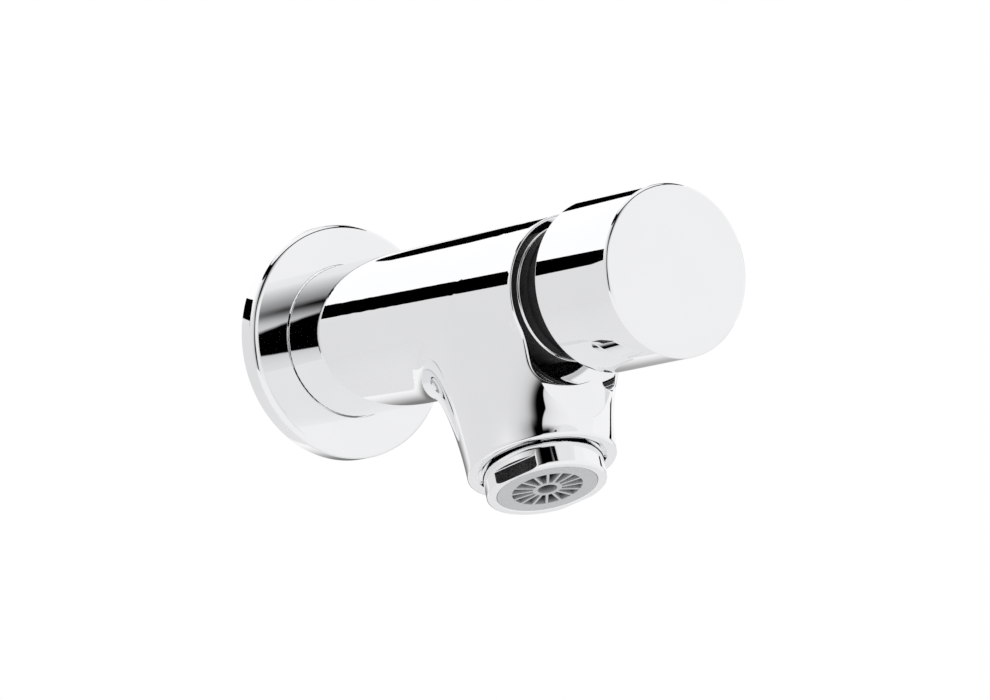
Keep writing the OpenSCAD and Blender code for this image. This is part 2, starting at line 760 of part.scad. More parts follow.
module aerator_housing() {
    c = sleeve_chamfer;
    out = aerator_out;
    flat = flats_af / 2;
    color("silver") at_outlet() difference() {
        rotate_extrude() polygon([[shoulder_r, housing_top], [aerator_r, housing_top], [aerator_r, -0.6],
            [aerator_r - 0.4, -0.4], [aerator_r - 0.4, 0.2], [aerator_r, 0.4], [aerator_r, out - c],
            [aerator_r - c, out], [insert_r, out], [insert_r, -ledge_up], [shoulder_r, -ledge_up]]);
        rotate(flats_turn) for (side = [0, 180]) rotate(side)
            translate([flat, -aerator_r, out - flats_h]) cube([aerator_r, aerator_d, flats_h + 1]);
    }
}

module aerator_insert() {
    face = aerator_out - part_gap;
    r = insert_r - aerator_gap;
    fins_r = fins_d / 2;
    fins_top = face - fin_h;
    color("#b9bcbe") at_outlet() difference() {
        union() {
            rod(r, -ledge_up - eps, face);
            rod(shoulder_fit_r, insert_top, -ledge_up);
        }
        rod(fins_r + part_gap, insert_top - 1, fins_top);
        difference() {
            tube(fins_r, hub_d / 2, fins_top - eps, face + 1);
            for (i = [0:fin_count - 1]) rotate(360 * (i + 0.5) / fin_count)
                translate([0, -fin_t / 2, fins_top - 1]) cube([fins_r + 1, fin_t, fin_h + 3]);
        }
        rod(dimple_d / 2, face - dimple_depth, face + 1);
    }
}

module aerator_diffuser() {
    color("ivory") at_outlet() difference() {
        rod(shoulder_fit_r, diffuser_top, insert_top);
        hole_circle(16, shoulder_fit_r * 0.75, 2 * hole_r, diffuser_top - 1, insert_top + 1);
        hole_circle(10, shoulder_fit_r * 0.45, 2 * hole_r, diffuser_top - 1, insert_top + 1);
    }
}

module aerator_screen() {
    color("lightsteelblue") at_outlet() difference() {
        rod(shoulder_fit_r, screen_top, diffuser_top);
        hole_field(5, shoulder_fit_r / 6, 2 * hole_r, screen_top - 1, diffuser_top + 1);
    }
}

module aerator_washer() {
    color("black") at_outlet()
        tube(aerator_r - aerator_gap, shoulder_r - 1.5, -aerator_depth, housing_top);
}

tap_body();
wall_flange();
wall_seal();
inlet_strainer();
flow_regulator();
regulator_ring();
cartridge_gasket();
timing_cup();
jet_pin();
cartridge_sleeve();
sleeve_o_rings();
gland_bush();
gland_o_ring();
stem_o_ring();
retaining_nut();
guide_collar();
return_spring();
piston();
cup_seal();
seat_washer();
stem();
push_button();
button_hub();
button_nut();
button_clip();
aerator_housing();
aerator_insert();
aerator_diffuser();
aerator_screen();
aerator_washer();
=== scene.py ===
# %% [markdown]
# A wall tap that closes by itself
#
# A push on the round button opens the valve, and a slow spring shuts it again. The model comes in as a
# fixed frame: every solid already stands where it belongs, in metres, with the wall at y = 0 and the
# button facing -Y. Blender adds what solids lack: smooth polished skins, rounded edges, finishes, light
# and a camera.

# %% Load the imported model
import json
import math

import bmesh
import bpy
from mathutils import Matrix, Vector


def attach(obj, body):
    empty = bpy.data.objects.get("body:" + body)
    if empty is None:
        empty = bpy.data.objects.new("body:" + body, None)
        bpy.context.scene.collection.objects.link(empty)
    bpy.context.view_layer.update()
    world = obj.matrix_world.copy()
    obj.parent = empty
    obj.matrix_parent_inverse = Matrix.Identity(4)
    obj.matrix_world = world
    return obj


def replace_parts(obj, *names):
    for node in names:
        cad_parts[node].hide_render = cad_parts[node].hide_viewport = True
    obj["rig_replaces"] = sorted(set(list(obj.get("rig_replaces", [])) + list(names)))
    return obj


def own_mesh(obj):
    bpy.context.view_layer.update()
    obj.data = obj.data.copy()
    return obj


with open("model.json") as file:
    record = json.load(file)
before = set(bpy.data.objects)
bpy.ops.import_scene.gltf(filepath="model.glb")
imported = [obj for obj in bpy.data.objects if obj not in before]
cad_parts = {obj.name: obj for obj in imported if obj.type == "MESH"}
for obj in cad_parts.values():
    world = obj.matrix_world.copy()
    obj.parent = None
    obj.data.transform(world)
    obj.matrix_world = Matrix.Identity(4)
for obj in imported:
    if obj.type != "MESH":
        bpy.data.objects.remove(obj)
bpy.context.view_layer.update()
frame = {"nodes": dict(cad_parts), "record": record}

MM = 0.001

# %% [markdown]
# The camera
#
# The picture was taken from the front left and a little below, with a long lens, so that the round ends
# look like true ellipses. A camera needs a place, a turn and a lens. Here the turn comes from two angles:
# three unit vectors (to the right, upwards and backwards) are the columns of its rotation matrix.

# %% Camera
CAMERA_TURN = math.radians(-36.077)
CAMERA_TILT = math.radians(-8.793)
CAMERA_AIM = Vector((7.005, -44.28, -6.23)) * MM
CAMERA_AWAY = 1443.1 * MM
CAMERA_LENS = 263.6

level_part = math.cos(CAMERA_TILT)
backwards = Vector((math.sin(CAMERA_TURN) * level_part, -math.cos(CAMERA_TURN) * level_part,
                    math.sin(CAMERA_TILT)))
rightwards = Vector((math.cos(CAMERA_TURN), math.sin(CAMERA_TURN), 0))
upwards = backwards.cross(rightwards)
camera_data = bpy.data.cameras.new("camera")
camera_data.lens = CAMERA_LENS
camera_data.sensor_width = 36
camera = bpy.data.objects.new("camera", camera_data)
bpy.context.scene.collection.objects.link(camera)
turn = Matrix((rightwards, upwards, backwards)).transposed().to_4x4()
camera.matrix_world = Matrix.Translation(CAMERA_AIM + backwards * CAMERA_AWAY) @ turn
bpy.context.scene.camera = camera
print("camera at", [round(c, 3) for c in camera.location])

# %% [markdown]
# Turned pieces
#
# The flange, the button, the nut and the neck are all turned on a lathe. On the computer the same thing
# is a spin: half an outline, swept once round the axis. The outline's corners are rounded first, while it
# is still a wire, because one rounded corner of a wire becomes a whole rounded edge after the spin.
# Polished metal shows every edge as a thin bright or dark line, so no edge that shows is left quite sharp.

# %% Helpers for turned pieces
LATHE_STEPS = 160
BARREL_AXIS = Vector((0, 1, 0))


def wire_outline(bm, corners):
    """A closed wire through corners of (radius, distance from the wall, rounding)."""
    verts = [bm.verts.new((r, -d, 0)) for r, d, rounding in corners]
    for a, b in zip(verts, verts[1:] + verts[:1]):
        if a.co.x or b.co.x:
            bm.edges.new((a, b))
    for vert, (r, d, rounding) in zip(verts, corners):
        if rounding:
            bmesh.ops.bevel(bm, geom=[vert], offset=rounding, offset_type="OFFSET", affect="VERTICES",
                            segments=5, profile=0.5, material=-1)


def turned(corners, steps=LATHE_STEPS):
    """A bmesh in millimetres: the outline spun once round the barrel's axis."""
    bm = bmesh.new()
    wire_outline(bm, corners)
    bmesh.ops.spin(bm, geom=bm.verts[:] + bm.edges[:], cent=(0, 0, 0), axis=BARREL_AXIS,
                   angle=2 * math.pi, steps=steps, use_merge=True)
    bmesh.ops.remove_doubles(bm, verts=bm.verts, dist=1e-4)
    bmesh.ops.recalc_face_normals(bm, faces=bm.faces)
    return bm


def mark_edges(bm, sharp_angle=40):
    """Smooth faces, with a crease wherever two faces meet at more than the given angle."""
    limit = math.radians(sharp_angle)
    for face in bm.faces:
        face.smooth = True
    for edge in bm.edges:
        edge.smooth = len(edge.link_faces) == 2 and edge.calc_face_angle(0) < limit


def make_piece(name, bm, body, nodes, even_shading=True):
    """Turn a bmesh in millimetres into an object that rides on a body and stands for its CAD nodes."""
    mark_edges(bm)
    bmesh.ops.scale(bm, vec=(MM, MM, MM), verts=bm.verts)
    mesh = bpy.data.meshes.new(name)
    bm.to_mesh(mesh)
    unclosed = sum(1 for e in bm.edges if len(e.link_faces) != 2)
    bm.free()
    piece = bpy.data.objects.new(name, mesh)
    bpy.context.scene.collection.objects.link(piece)
    if even_shading:
        piece.modifiers.new("even_shading", "WEIGHTED_NORMAL").keep_sharp = True
    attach(piece, body)
    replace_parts(piece, *nodes)
    print(name, "faces:", len(mesh.polygons), "open edges:", unclosed)
    return piece


# %% [markdown]
# Wall flange and button
#
# The flange is a shallow pressed cup that hides the hole in the wall. The button is a deep cap with a
# flat face; its hollow has a groove for the wire clip that holds it on its hub. A bevel along finished
# edges would also do, but rounding the wire is quicker and gives even widths.

# %% Wall flange
FLANGE_R = 24.0
FLANGE_HOLE_R = 15.65
FLANGE_DEEP = 4.2
FLANGE_WALL = 1.0
flange_inner = FLANGE_R - FLANGE_WALL
flange_under = FLANGE_DEEP - FLANGE_WALL
flange_disc = make_piece("flange_disc", turned([
    (flange_inner, 0.0, 0), (FLANGE_R, 0.0, 0.15), (FLANGE_R, FLANGE_DEEP, 1.3),
    (FLANGE_HOLE_R, FLANGE_DEEP, 0.15), (FLANGE_HOLE_R, flange_under, 0), (flange_inner, flange_under, 0.4),
]), "tap", ["wall_flange"])

# %% Push button
BUTTON_R = 17.0
BUTTON_BACK = 90.0
BUTTON_FRONT = 113.0
BUTTON_HOLLOW_R = 15.5
BUTTON_HOLLOW_END = 110.8
CLIP_GROOVE_R = 15.95
CLIP_GROOVE = (108.25, 109.35)
button_cap = make_piece("button_cap", turned([
    (0.0, BUTTON_FRONT, 0), (BUTTON_R, BUTTON_FRONT, 0.9), (BUTTON_R, BUTTON_BACK, 0.4),
    (BUTTON_HOLLOW_R, BUTTON_BACK, 0.3), (BUTTON_HOLLOW_R, CLIP_GROOVE[0], 0),
    (CLIP_GROOVE_R, CLIP_GROOVE[0], 0), (CLIP_GROOVE_R, CLIP_GROOVE[1], 0),
    (BUTTON_HOLLOW_R, CLIP_GROOVE[1], 0), (BUTTON_HOLLOW_R, BUTTON_HOLLOW_END, 0),
    (0.0, BUTTON_HOLLOW_END, 0),
]), "plunger", ["push_button"])

# %% [markdown]
# Nut and neck
#
# Between the barrel and the button a thin bright lip shows: the nut that holds the cartridge in. In front
# of it stands a black moulded neck with small snap lugs. The neck is spun like the rest, and each lug is
# a bevelled block set half into its wall.

# %% Retaining nut
NUT_HOLE_R = 9.1
NUT_R = 12.4
NUT_LIP_R = 13.6
NUT_BACK = 73.0
NUT_FRONT = 80.4
RIM_AT = 80.0
retaining_ring = make_piece("retaining_ring", turned([
    (NUT_HOLE_R, NUT_BACK, 0.3), (NUT_R, NUT_BACK, 0.4), (NUT_R, RIM_AT, 0), (NUT_LIP_R, RIM_AT, 0),
    (NUT_LIP_R, NUT_FRONT, 0.18), (NUT_HOLE_R, NUT_FRONT, 0),
]), "tap", ["retaining_nut"])

# %% Guide collar
COLLAR_R = 13.2
COLLAR_NECK_R = 12.9
COLLAR_INNER_R = 11.7
COLLAR_FRONT = 95.9
COLLAR_STEP = (82.4, 82.7)
SPIGOT_R = 9.0
SPIGOT_BACK = 75.4
STEM_HOLE_R = 3.06
COLLAR_FLOOR = 83.9
LUG_COUNT = 3
LUG_FIRST = 205
LUG_SIZE = (0.9, 3.6, 4.0)
LUG_AT = 86.3
LUG_SUNK = 0.1


def add_block(bm, size, rounding, place):
    """A small block with rounded edges, put where the matrix says."""
    block = bmesh.ops.create_cube(bm, size=1.0, matrix=place @ Matrix.Diagonal((*size, 1)))
    edges = list({e for v in block["verts"] for e in v.link_edges})
    bmesh.ops.bevel(bm, geom=edges, offset=rounding, offset_type="OFFSET", affect="EDGES", segments=3,
                    profile=0.5, material=-1)


collar_mesh = turned([
    (STEM_HOLE_R, SPIGOT_BACK, 0), (SPIGOT_R, SPIGOT_BACK, 0.3), (SPIGOT_R, NUT_FRONT, 0),
    (COLLAR_R, NUT_FRONT, 0.1), (COLLAR_R, COLLAR_STEP[0], 0.1), (COLLAR_NECK_R, COLLAR_STEP[1], 0),
    (COLLAR_NECK_R, COLLAR_FRONT, 0.4), (COLLAR_INNER_R, COLLAR_FRONT, 0.3),
    (COLLAR_INNER_R, COLLAR_FLOOR, 0.5), (STEM_HOLE_R, COLLAR_FLOOR, 0.2),
])
for lug in range(LUG_COUNT):
    lug_turn = Matrix.Rotation(-math.radians(LUG_FIRST + 360 / LUG_COUNT * lug), 4, "Y")
    lug_place = Matrix.Translation((COLLAR_R - LUG_SUNK, -LUG_AT, 0))
    add_block(collar_mesh, LUG_SIZE, 0.15, lug_turn @ lug_place)
neck_collar = make_piece("neck_collar", collar_mesh, "tap", ["guide_collar"])

# %% [markdown]
# The cast body: its lines
#
# Barrel and spout are one casting, and the polished skin flows from the barrel into the spout without an
# edge. Two solids joined by a Boolean would leave a ragged seam that a mirror finish shows at once. So
# the skin is one sheet. Its lines start at the outlet's rim, run up the spout as smooth cubic curves that
# touch the barrel, and go on over the barrel to its front rim, its top or its back. ROOT_AT, RISE and
# FLARE each hold a value for the front, the sides and the back of the spout; ROOT_NARROW keeps the
# spout's root slim towards the front.

# %% Lines of the spout
BARREL_R = 15.5
BARREL_BACK = 2.0
OUTLET_TILT = math.radians(18.9)
OUTLET_R = 14.9
OUTLET_CENTRE = Vector((0, -69.7, -33.1))
OUTWARD = Vector((0, -math.sin(OUTLET_TILT), -math.cos(OUTLET_TILT)))
OUTLET_FRONT = Vector((0, -math.cos(OUTLET_TILT), math.sin(OUTLET_TILT)))
ROOT_AT = (95.2, 63.0, 32.4)
ROOT_WRAP = math.radians(72.6)
ROOT_NARROW = 1.6
RISE = (6.0, 11.7, 9.0)
FLARE = (6.8, 1.25, 8.0)


def front_side_back(c, values):
    """A value for the direction whose cosine is c, from those at the front, the sides and the back."""
    front, side, back = values
    g = (1 + c) / 2
    middle = 2 * side - (front + back) / 2
    return front * g * g + 2 * middle * g * (1 - g) + back * (1 - g) * (1 - g)


def on_barrel(wrap, along, radius=BARREL_R):
    """The point at a wrap angle from the barrel's underside and a distance from the wall."""
    return Vector((radius * math.sin(wrap), -along, -radius * math.cos(wrap)))


def cubic(points, u):
    """A point on the cubic curve with four control points."""
    a, b, c, d = points
    return (1 - u) ** 3 * a + 3 * u * (1 - u) ** 2 * b + 3 * u * u * (1 - u) * c + u ** 3 * d


def spout_line(angle, count=60):
    """Points up the spout from its rim; the angle goes round the outlet from the front."""
    c, s = math.cos(angle), math.sin(angle)
    wrap = ROOT_WRAP * s ** ROOT_NARROW
    low = OUTLET_CENTRE + OUTLET_R * (c * OUTLET_FRONT + s * Vector((1, 0, 0)))
    high = on_barrel(wrap, front_side_back(c, ROOT_AT))
    run = (s * Vector((math.cos(wrap), 0, math.sin(wrap))) + c * Vector((0, -1, 0))).normalized()
    p1 = low - front_side_back(c, RISE) * OUTWARD
    p2 = high - front_side_back(c, FLARE) * run
    return [cubic((low, p1, p2, high), k / count) for k in range(count + 1)]


print("spout line at the front ends", [round(c, 1) for c in spout_line(0)[-1]], "mm")

# %% [markdown]
# The cast body: the scoop under the button
#
# In front of the barrel the casting is hollowed out like a gutter, so that the button can travel. Its
# section is the same all round the axis: a flat round the nut, a hollow corner, and a slope that rises to
# a lip just clear of the button. A lathe would cut it with one shaped tool. Lines of the spout that reach
# the scoop stop there.

# %% Scoop
LIP_R = 17.3
GUTTER_R = 19.9
GUTTER_ROUND = 2.2
GUTTER_FRONT = 88.9
NUT_SEAT_R = 13.9
SLOPE_PULLS = (0.34, 0.45)
SLOPE_STEPS = 40
ROUND_STEPS = 20
FLAT_STEPS = 16
LIP_STEP = 0.25
LIP_STEPS = 20


def smooth_step(value, low, high):
    """From 0 at the low end to 1 at the high end, without a kink."""
    t = min(1, max(0, (value - low) / (high - low)))
    return t * t * (3 - 2 * t)


flat_edge = GUTTER_R - GUTTER_ROUND
bottom_at = RIM_AT + GUTTER_ROUND
slope_rise = GUTTER_FRONT - bottom_at
slope_control = [Vector(p) for p in (
    (LIP_R, GUTTER_FRONT), ((LIP_R + GUTTER_R) / 2, GUTTER_FRONT - SLOPE_PULLS[0] * slope_rise),
    (GUTTER_R, bottom_at + SLOPE_PULLS[1] * slope_rise), (GUTTER_R, bottom_at))]
slope = [cubic(slope_control, k / SLOPE_STEPS) for k in range(SLOPE_STEPS + 1)]
corner_round = [Vector((flat_edge + GUTTER_ROUND * math.cos(t), bottom_at - GUTTER_ROUND * math.sin(t)))
                for t in (math.pi / 2 * k / ROUND_STEPS for k in range(1, ROUND_STEPS + 1))]
lip_top = [Vector((LIP_R, GUTTER_FRONT + LIP_STEP * k)) for k in range(LIP_STEPS, 0, -1)]
nut_flat = [Vector((flat_edge + (NUT_SEAT_R - flat_edge) * k / FLAT_STEPS, RIM_AT))
            for k in range(1, FLAT_STEPS + 1)]
scoop_section = lip_top + slope + corner_round + nut_flat


def in_scoop(p):
    """Whether a point lies inside the hollow."""
    radius, along = math.hypot(p.x, p.z), -p.y
    if radius >= GUTTER_R or along <= RIM_AT:
        return False
    if radius > flat_edge and along < bottom_at - math.sqrt(GUTTER_ROUND ** 2 - (radius - flat_edge) ** 2):
        return False
    for a, b in zip(slope, slope[1:]):
        if a.x < radius <= b.x:
            return along < a.y + (b.y - a.y) * (radius - a.x) / (b.x - a.x)
    return True


def stop_at_scoop(line):
    """Cut a line where it enters the scoop."""
    for k in range(1, len(line)):
        if in_scoop(line[k]):
            inside, outside = line[k], line[k - 1]
            for _ in range(30):
                middle = (inside + outside) / 2
                if in_scoop(middle):
                    inside = middle
                else:
                    outside = middle
            return line[:k] + [outside]
    return line


def scoop_path(corner):
    """Points from the scoop's edge down its section to the flat under the nut."""
    wrap = math.atan2(corner.x, -corner.z)
    here = Vector((math.hypot(corner.x, corner.z), -corner.y))
    near = min(range(len(scoop_section)), key=lambda k: (scoop_section[k] - here).length)
    return [corner] + [on_barrel(wrap, p.y, p.x) for p in scoop_section[near + 1:]]


print("scoop:", len(scoop_section), "points in its section")

# %% [markdown]
# The cast body: from lines to a sheet
#
# Each line is cut into the same number of equal steps, and a flat grid is moulded onto the points. Half
# of the lines are worked out, and the others are their mirror image. Along the front rim the sheet rolls
# over a rounded edge into the scoop. Where two halves meet along the barrel's top, the doubled points are
# merged.

# %% Columns of the sheet
HALF = 144
RIM_FIRST = 47
RIM_LAST = 80
TOP_LAST = 112
SKIN_ROWS = 60
ROLL_ROWS = 8
SCOOP_ROWS = 32
RIM_LEAD = 2.0
RIM_ROUND = 0.5
LIP_ROUND = 0.8
OUTLET_ROUND = 0.45
LIP_UNTIL = 30
RIM_SINCE = 60
MITRE_LIMIT = 2.2
INNER_LIMIT = 0.97
ROUND_PULL = 0.5523


def measured(line):
    """Running length at each point of a line."""
    run = [0.0]
    for a, b in zip(line, line[1:]):
        run.append(run[-1] + (b - a).length)
    return run


def stretch(line, start, end, rows):
    """Equal steps along a line, between two running lengths."""
    run = measured(line)
    points, k = [], 0
    for j in range(rows + 1):
        want = start + (end - start) * j / rows
        while k < len(run) - 2 and run[k + 1] < want:
            k += 1
        step = run[k + 1] - run[k]
        points.append(line[k].lerp(line[k + 1], (want - run[k]) / step if step else 0))
    return points


def rounded_corner(start, corner, end, rows):
    """A nearly round curve from start to end that bulges towards the corner."""
    control = (start, start.lerp(corner, ROUND_PULL), end.lerp(corner, ROUND_PULL), end)
    return [cubic(control, j / rows) for j in range(rows + 1)]


def over_barrel(start, wrap, along, count=40):
    """Points over the barrel to a wrap angle and a distance from the wall, straight in the unrolled sheet."""
    wrap_0, along_0 = math.atan2(start.x, -start.z), -start.y
    return [on_barrel(wrap_0 + (wrap - wrap_0) * k / count, along_0 + (along - along_0) * k / count)
            for k in range(1, count + 1)]


first_wrap = ROOT_WRAP * math.sin(math.pi * RIM_FIRST / HALF) ** ROOT_NARROW
paths = []
for i in range(HALF + 1):
    path = spout_line(math.pi * i / HALF)
    if i < RIM_FIRST:
        path = stop_at_scoop(path)
    elif i <= RIM_LAST:
        rim_wrap = first_wrap + (math.pi - first_wrap) * (i - RIM_FIRST) / (RIM_LAST - RIM_FIRST)
        if -path[-1].y < RIM_AT - RIM_LEAD:
            path += over_barrel(path[-1], rim_wrap, RIM_AT - RIM_LEAD)
        path += over_barrel(path[-1], rim_wrap, RIM_AT, 8)
    elif i <= TOP_LAST:
        share = (i - RIM_LAST) / (TOP_LAST - RIM_LAST)
        top_front = RIM_AT - RIM_LEAD
        path += over_barrel(path[-1], math.pi, top_front + (BARREL_BACK - top_front) * share)
    else:
        path += over_barrel(path[-1], math.pi * (HALF - i) / (HALF - TOP_LAST), BARREL_BACK)
    paths.append(path)
print("lines:", len(paths), "longest:", round(max(measured(p)[-1] for p in paths), 1), "mm")

# %% Rows of the sheet
skin_rows, front_rows = [], []
for i, path in enumerate(paths):
    length = measured(path)[-1]
    end = length
    if i <= RIM_LAST:
        corner = path[-1]
        before = paths[abs(i - 1)][-1]
        if i == 0:
            before = Vector((-paths[1][-1].x, paths[1][-1].y, paths[1][-1].z))
        after = paths[min(i + 1, RIM_LAST)][-1]
        edge_way = (after - before).normalized()
        inner = scoop_path(corner)
        rounding = LIP_ROUND + (RIM_ROUND - LIP_ROUND) * smooth_step(i, LIP_UNTIL, RIM_SINCE)
        skin_way = (path[-1] - path[-3]).normalized()
        inner_way = (inner[2] - inner[0]).normalized()
        end = length - min(MITRE_LIMIT, 1 / skin_way.cross(edge_way).length) * rounding
        inner_length = measured(inner)[-1]
        inner_start = min(MITRE_LIMIT, 1 / inner_way.cross(edge_way).length) * rounding
        inner_start = min(inner_start, inner_length * INNER_LIMIT)
        roll_from = stretch(path, end, length, 1)[0]
        inner_points = stretch(inner, inner_start, inner_length, SCOOP_ROWS)
        front_rows.append(rounded_corner(roll_from, corner, inner_points[0], ROLL_ROWS) + inner_points[1:])
    rim_start = stretch(path, OUTLET_ROUND, length, 1)[0]
    flat_start = path[0].lerp(OUTLET_CENTRE, OUTLET_ROUND / OUTLET_R)
    skin_rows.append(rounded_corner(flat_start, path[0], rim_start, 4)
                     + stretch(path, OUTLET_ROUND, end, SKIN_ROWS)[1:])
print("rows on each line:", len(skin_rows[0]), "and over the front rim:", len(front_rows[0]))

# %% Mould the sheet


def moulded_sheet(bm, first, last, rows):
    """A flat grid whose points are put on the rows of each line; lines below zero are mirror images."""
    steps = len(rows[0]) - 1
    grid = bmesh.ops.create_grid(bm, x_segments=last - first, y_segments=steps, size=1)
    for vert in grid["verts"]:
        i = first + round((vert.co.x + 1) / 2 * (last - first))
        point = rows[abs(i)][round((vert.co.y + 1) / 2 * steps)]
        vert.co = (-point.x if i < 0 else point.x, point.y, point.z)


cast = bmesh.new()
moulded_sheet(cast, -HALF, HALF, skin_rows)
moulded_sheet(cast, -RIM_LAST, RIM_LAST, front_rows)
bmesh.ops.remove_doubles(cast, verts=cast.verts, dist=0.002)
bmesh.ops.dissolve_degenerate(cast, edges=cast.edges, dist=0.001)
print("sheet:", len(cast.faces), "faces,", sum(e.is_boundary for e in cast.edges), "edges still open")

# %% [markdown]
# The cast body: bores, thread and back
#
# An open edge of the sheet can be carried on: each extrusion makes a new ring, which is then set to its
# own radius and depth. The front rim is carried through the cartridge chamber and the inlet to the end of
# the tail, and back over the outside of the tail, where the rings follow a pipe thread: the crest moves
# on by one pitch for every turn. At the wall end this loop is bridged to the back of the barrel. The
# outlet's rim is carried into the groove and the threaded bore of the aerator.

# %% Carry an open edge on
THREAD_R = 10.4775
THREAD_DEPTH = 1.1
THREAD_PITCH = 1.814
THREAD_FROM = -15.2
THREAD_TO = -0.6
THREAD_ROWS = 12
THREAD_LEAD = 0.9
CREST_SHARE = 0.12
FLANK_SHARE = 0.76


def carried(bm, edges, stations, to_local=Matrix.Identity(4)):
    """Extrude an edge loop through (radius, distance) stations; a radius may be a function of the angle."""
    back = to_local.inverted()
    for radius, along in stations:
        made = bmesh.ops.extrude_edge_only(bm, edges=edges)["geom"]
        verts = [g for g in made if isinstance(g, bmesh.types.BMVert)]
        fresh = set(verts)
        edges = [g for g in made if isinstance(g, bmesh.types.BMEdge) and fresh.issuperset(g.verts)]
        for vert in verts:
            p = to_local @ vert.co
            angle = math.atan2(p.x, p.z)
            r = radius(angle) if callable(radius) else radius
            vert.co = back @ Vector((r * math.sin(angle), -along, r * math.cos(angle)))
    return edges


def thread_ring(along):
    """Radius of the thread round the tail, at one distance from the wall."""
    lead = min(1, (along - THREAD_FROM) / THREAD_LEAD, (THREAD_TO - along) / THREAD_LEAD)

    def radius(angle):
        t = (along / THREAD_PITCH + angle / (2 * math.pi)) % 1
        groove = min(1, max(0, (1 - abs(2 * t - 1) - CREST_SHARE) / FLANK_SHARE))
        return THREAD_R - THREAD_DEPTH * (1 - lead) - THREAD_DEPTH * groove * lead

    return radius


def open_edges(bm, test):
    return [e for e in bm.edges if e.is_boundary and all(test(v.co) for v in e.verts)]


# %% Chamber, inlet and tail
CHAMBER_R = 12.5
CHAMBER_BACK = 27.55
SEAT_R = 10.4
SEAT_BACK = 21.55
INLET_R = 7.0
STRAINER_R = 8.0
STRAINER_AT = -9.5
TAIL_BACK = -16.0
TAIL_EDGE_R = 9.2
NECK_R = 9.3
NECK_AT = 1.6
SHOULDER_R = 14.9
front_loop = open_edges(cast, lambda p: abs(-p.y - RIM_AT) < 0.05 and math.hypot(p.x, p.z) < BARREL_R)
back_loop = open_edges(cast, lambda p: abs(-p.y - BARREL_BACK) < 0.05)
outlet_loop = open_edges(cast, lambda p: abs((p - OUTLET_CENTRE).dot(OUTWARD)) < 0.05)
thread_count = round((THREAD_TO - THREAD_FROM) / THREAD_PITCH * THREAD_ROWS)
thread_rings = [THREAD_FROM + (THREAD_TO - THREAD_FROM) * k / thread_count for k in range(thread_count + 1)]
chamber = [(CHAMBER_R, RIM_AT), (CHAMBER_R, CHAMBER_BACK), (SEAT_R, CHAMBER_BACK), (SEAT_R, SEAT_BACK)]
inlet = [(INLET_R, SEAT_BACK), (INLET_R, STRAINER_AT), (STRAINER_R, STRAINER_AT),
         (STRAINER_R, TAIL_BACK + 0.3), (STRAINER_R + 0.3, TAIL_BACK), (TAIL_EDGE_R, TAIL_BACK)]
thread = [(thread_ring(d), d) for d in thread_rings]
shoulder = [(NECK_R, NECK_AT), (NECK_R + 0.4, BARREL_BACK), (SHOULDER_R, BARREL_BACK)]
tail_end = carried(cast, front_loop, chamber + inlet + thread + shoulder)
bmesh.ops.bridge_loops(cast, edges=tail_end + back_loop)
print("thread rings:", len(thread_rings), "front loop:", len(front_loop), "back loop:", len(back_loop))

# %% Outlet bore
RECESS_R = 12.8
RECESS_DEEP = 2.2
BORE_R = 12.05
BORE_DEEP = 10.0
OUTLET_FRAME = Matrix.Translation(OUTLET_CENTRE) @ Matrix.Rotation(math.pi / 2 - OUTLET_TILT, 4, "X")
bore_end = carried(cast, outlet_loop, [
    (RECESS_R + 0.2, 0.0), (RECESS_R + 0.06, -0.06), (RECESS_R, -0.2), (RECESS_R, -RECESS_DEEP),
    (BORE_R, -RECESS_DEEP), (BORE_R, -BORE_DEEP),
], OUTLET_FRAME.inverted())
bmesh.ops.edgeloop_fill(cast, edges=bore_end)
bmesh.ops.recalc_face_normals(cast, faces=cast.faces)
print("outlet loop:", len(outlet_loop), "edges")

# %% Water passage


def cut_away(name, bm, cutter):
    """The bmesh with another one cut out of it."""
    pair = []
    for part, mesh in ((bm, bpy.data.meshes.new(name)), (cutter, bpy.data.meshes.new(name + "_cut"))):
        part.to_mesh(mesh)
        part.free()
        pair.append(bpy.data.objects.new(mesh.name, mesh))
        bpy.context.scene.collection.objects.link(pair[-1])
    cut = pair[0].modifiers.new("cut", "BOOLEAN")
    cut.object, cut.operation, cut.solver = pair[1], "DIFFERENCE", "EXACT"
    done = bpy.data.meshes.new_from_object(pair[0].evaluated_get(bpy.context.evaluated_depsgraph_get()))
    result = bmesh.new()
    result.from_mesh(done)
    for temporary in pair:
        mesh = temporary.data
        bpy.data.objects.remove(temporary)
        bpy.data.meshes.remove(mesh)
    bpy.data.meshes.remove(done)
    return result


PASSAGE_SIDES = 64
PASSAGE_R = 7
PASSAGE_LENGTH = 16.9
PASSAGE_MIDDLE = 17.5
passage = bmesh.new()
passage_turn = Matrix.Rotation(math.pi / 2, 4, "X") @ Matrix.Rotation(math.pi / PASSAGE_SIDES, 4, "Z")
passage_place = OUTLET_FRAME @ Matrix.Translation((0, PASSAGE_MIDDLE, 0)) @ passage_turn
bmesh.ops.create_cone(passage, cap_ends=True, segments=PASSAGE_SIDES, radius1=PASSAGE_R, radius2=PASSAGE_R,
                      depth=PASSAGE_LENGTH, matrix=passage_place)
cast = cut_away("cast", cast, passage)
tap_casting = make_piece("tap_casting", cast, "tap", ["tap_body"], even_shading=False)
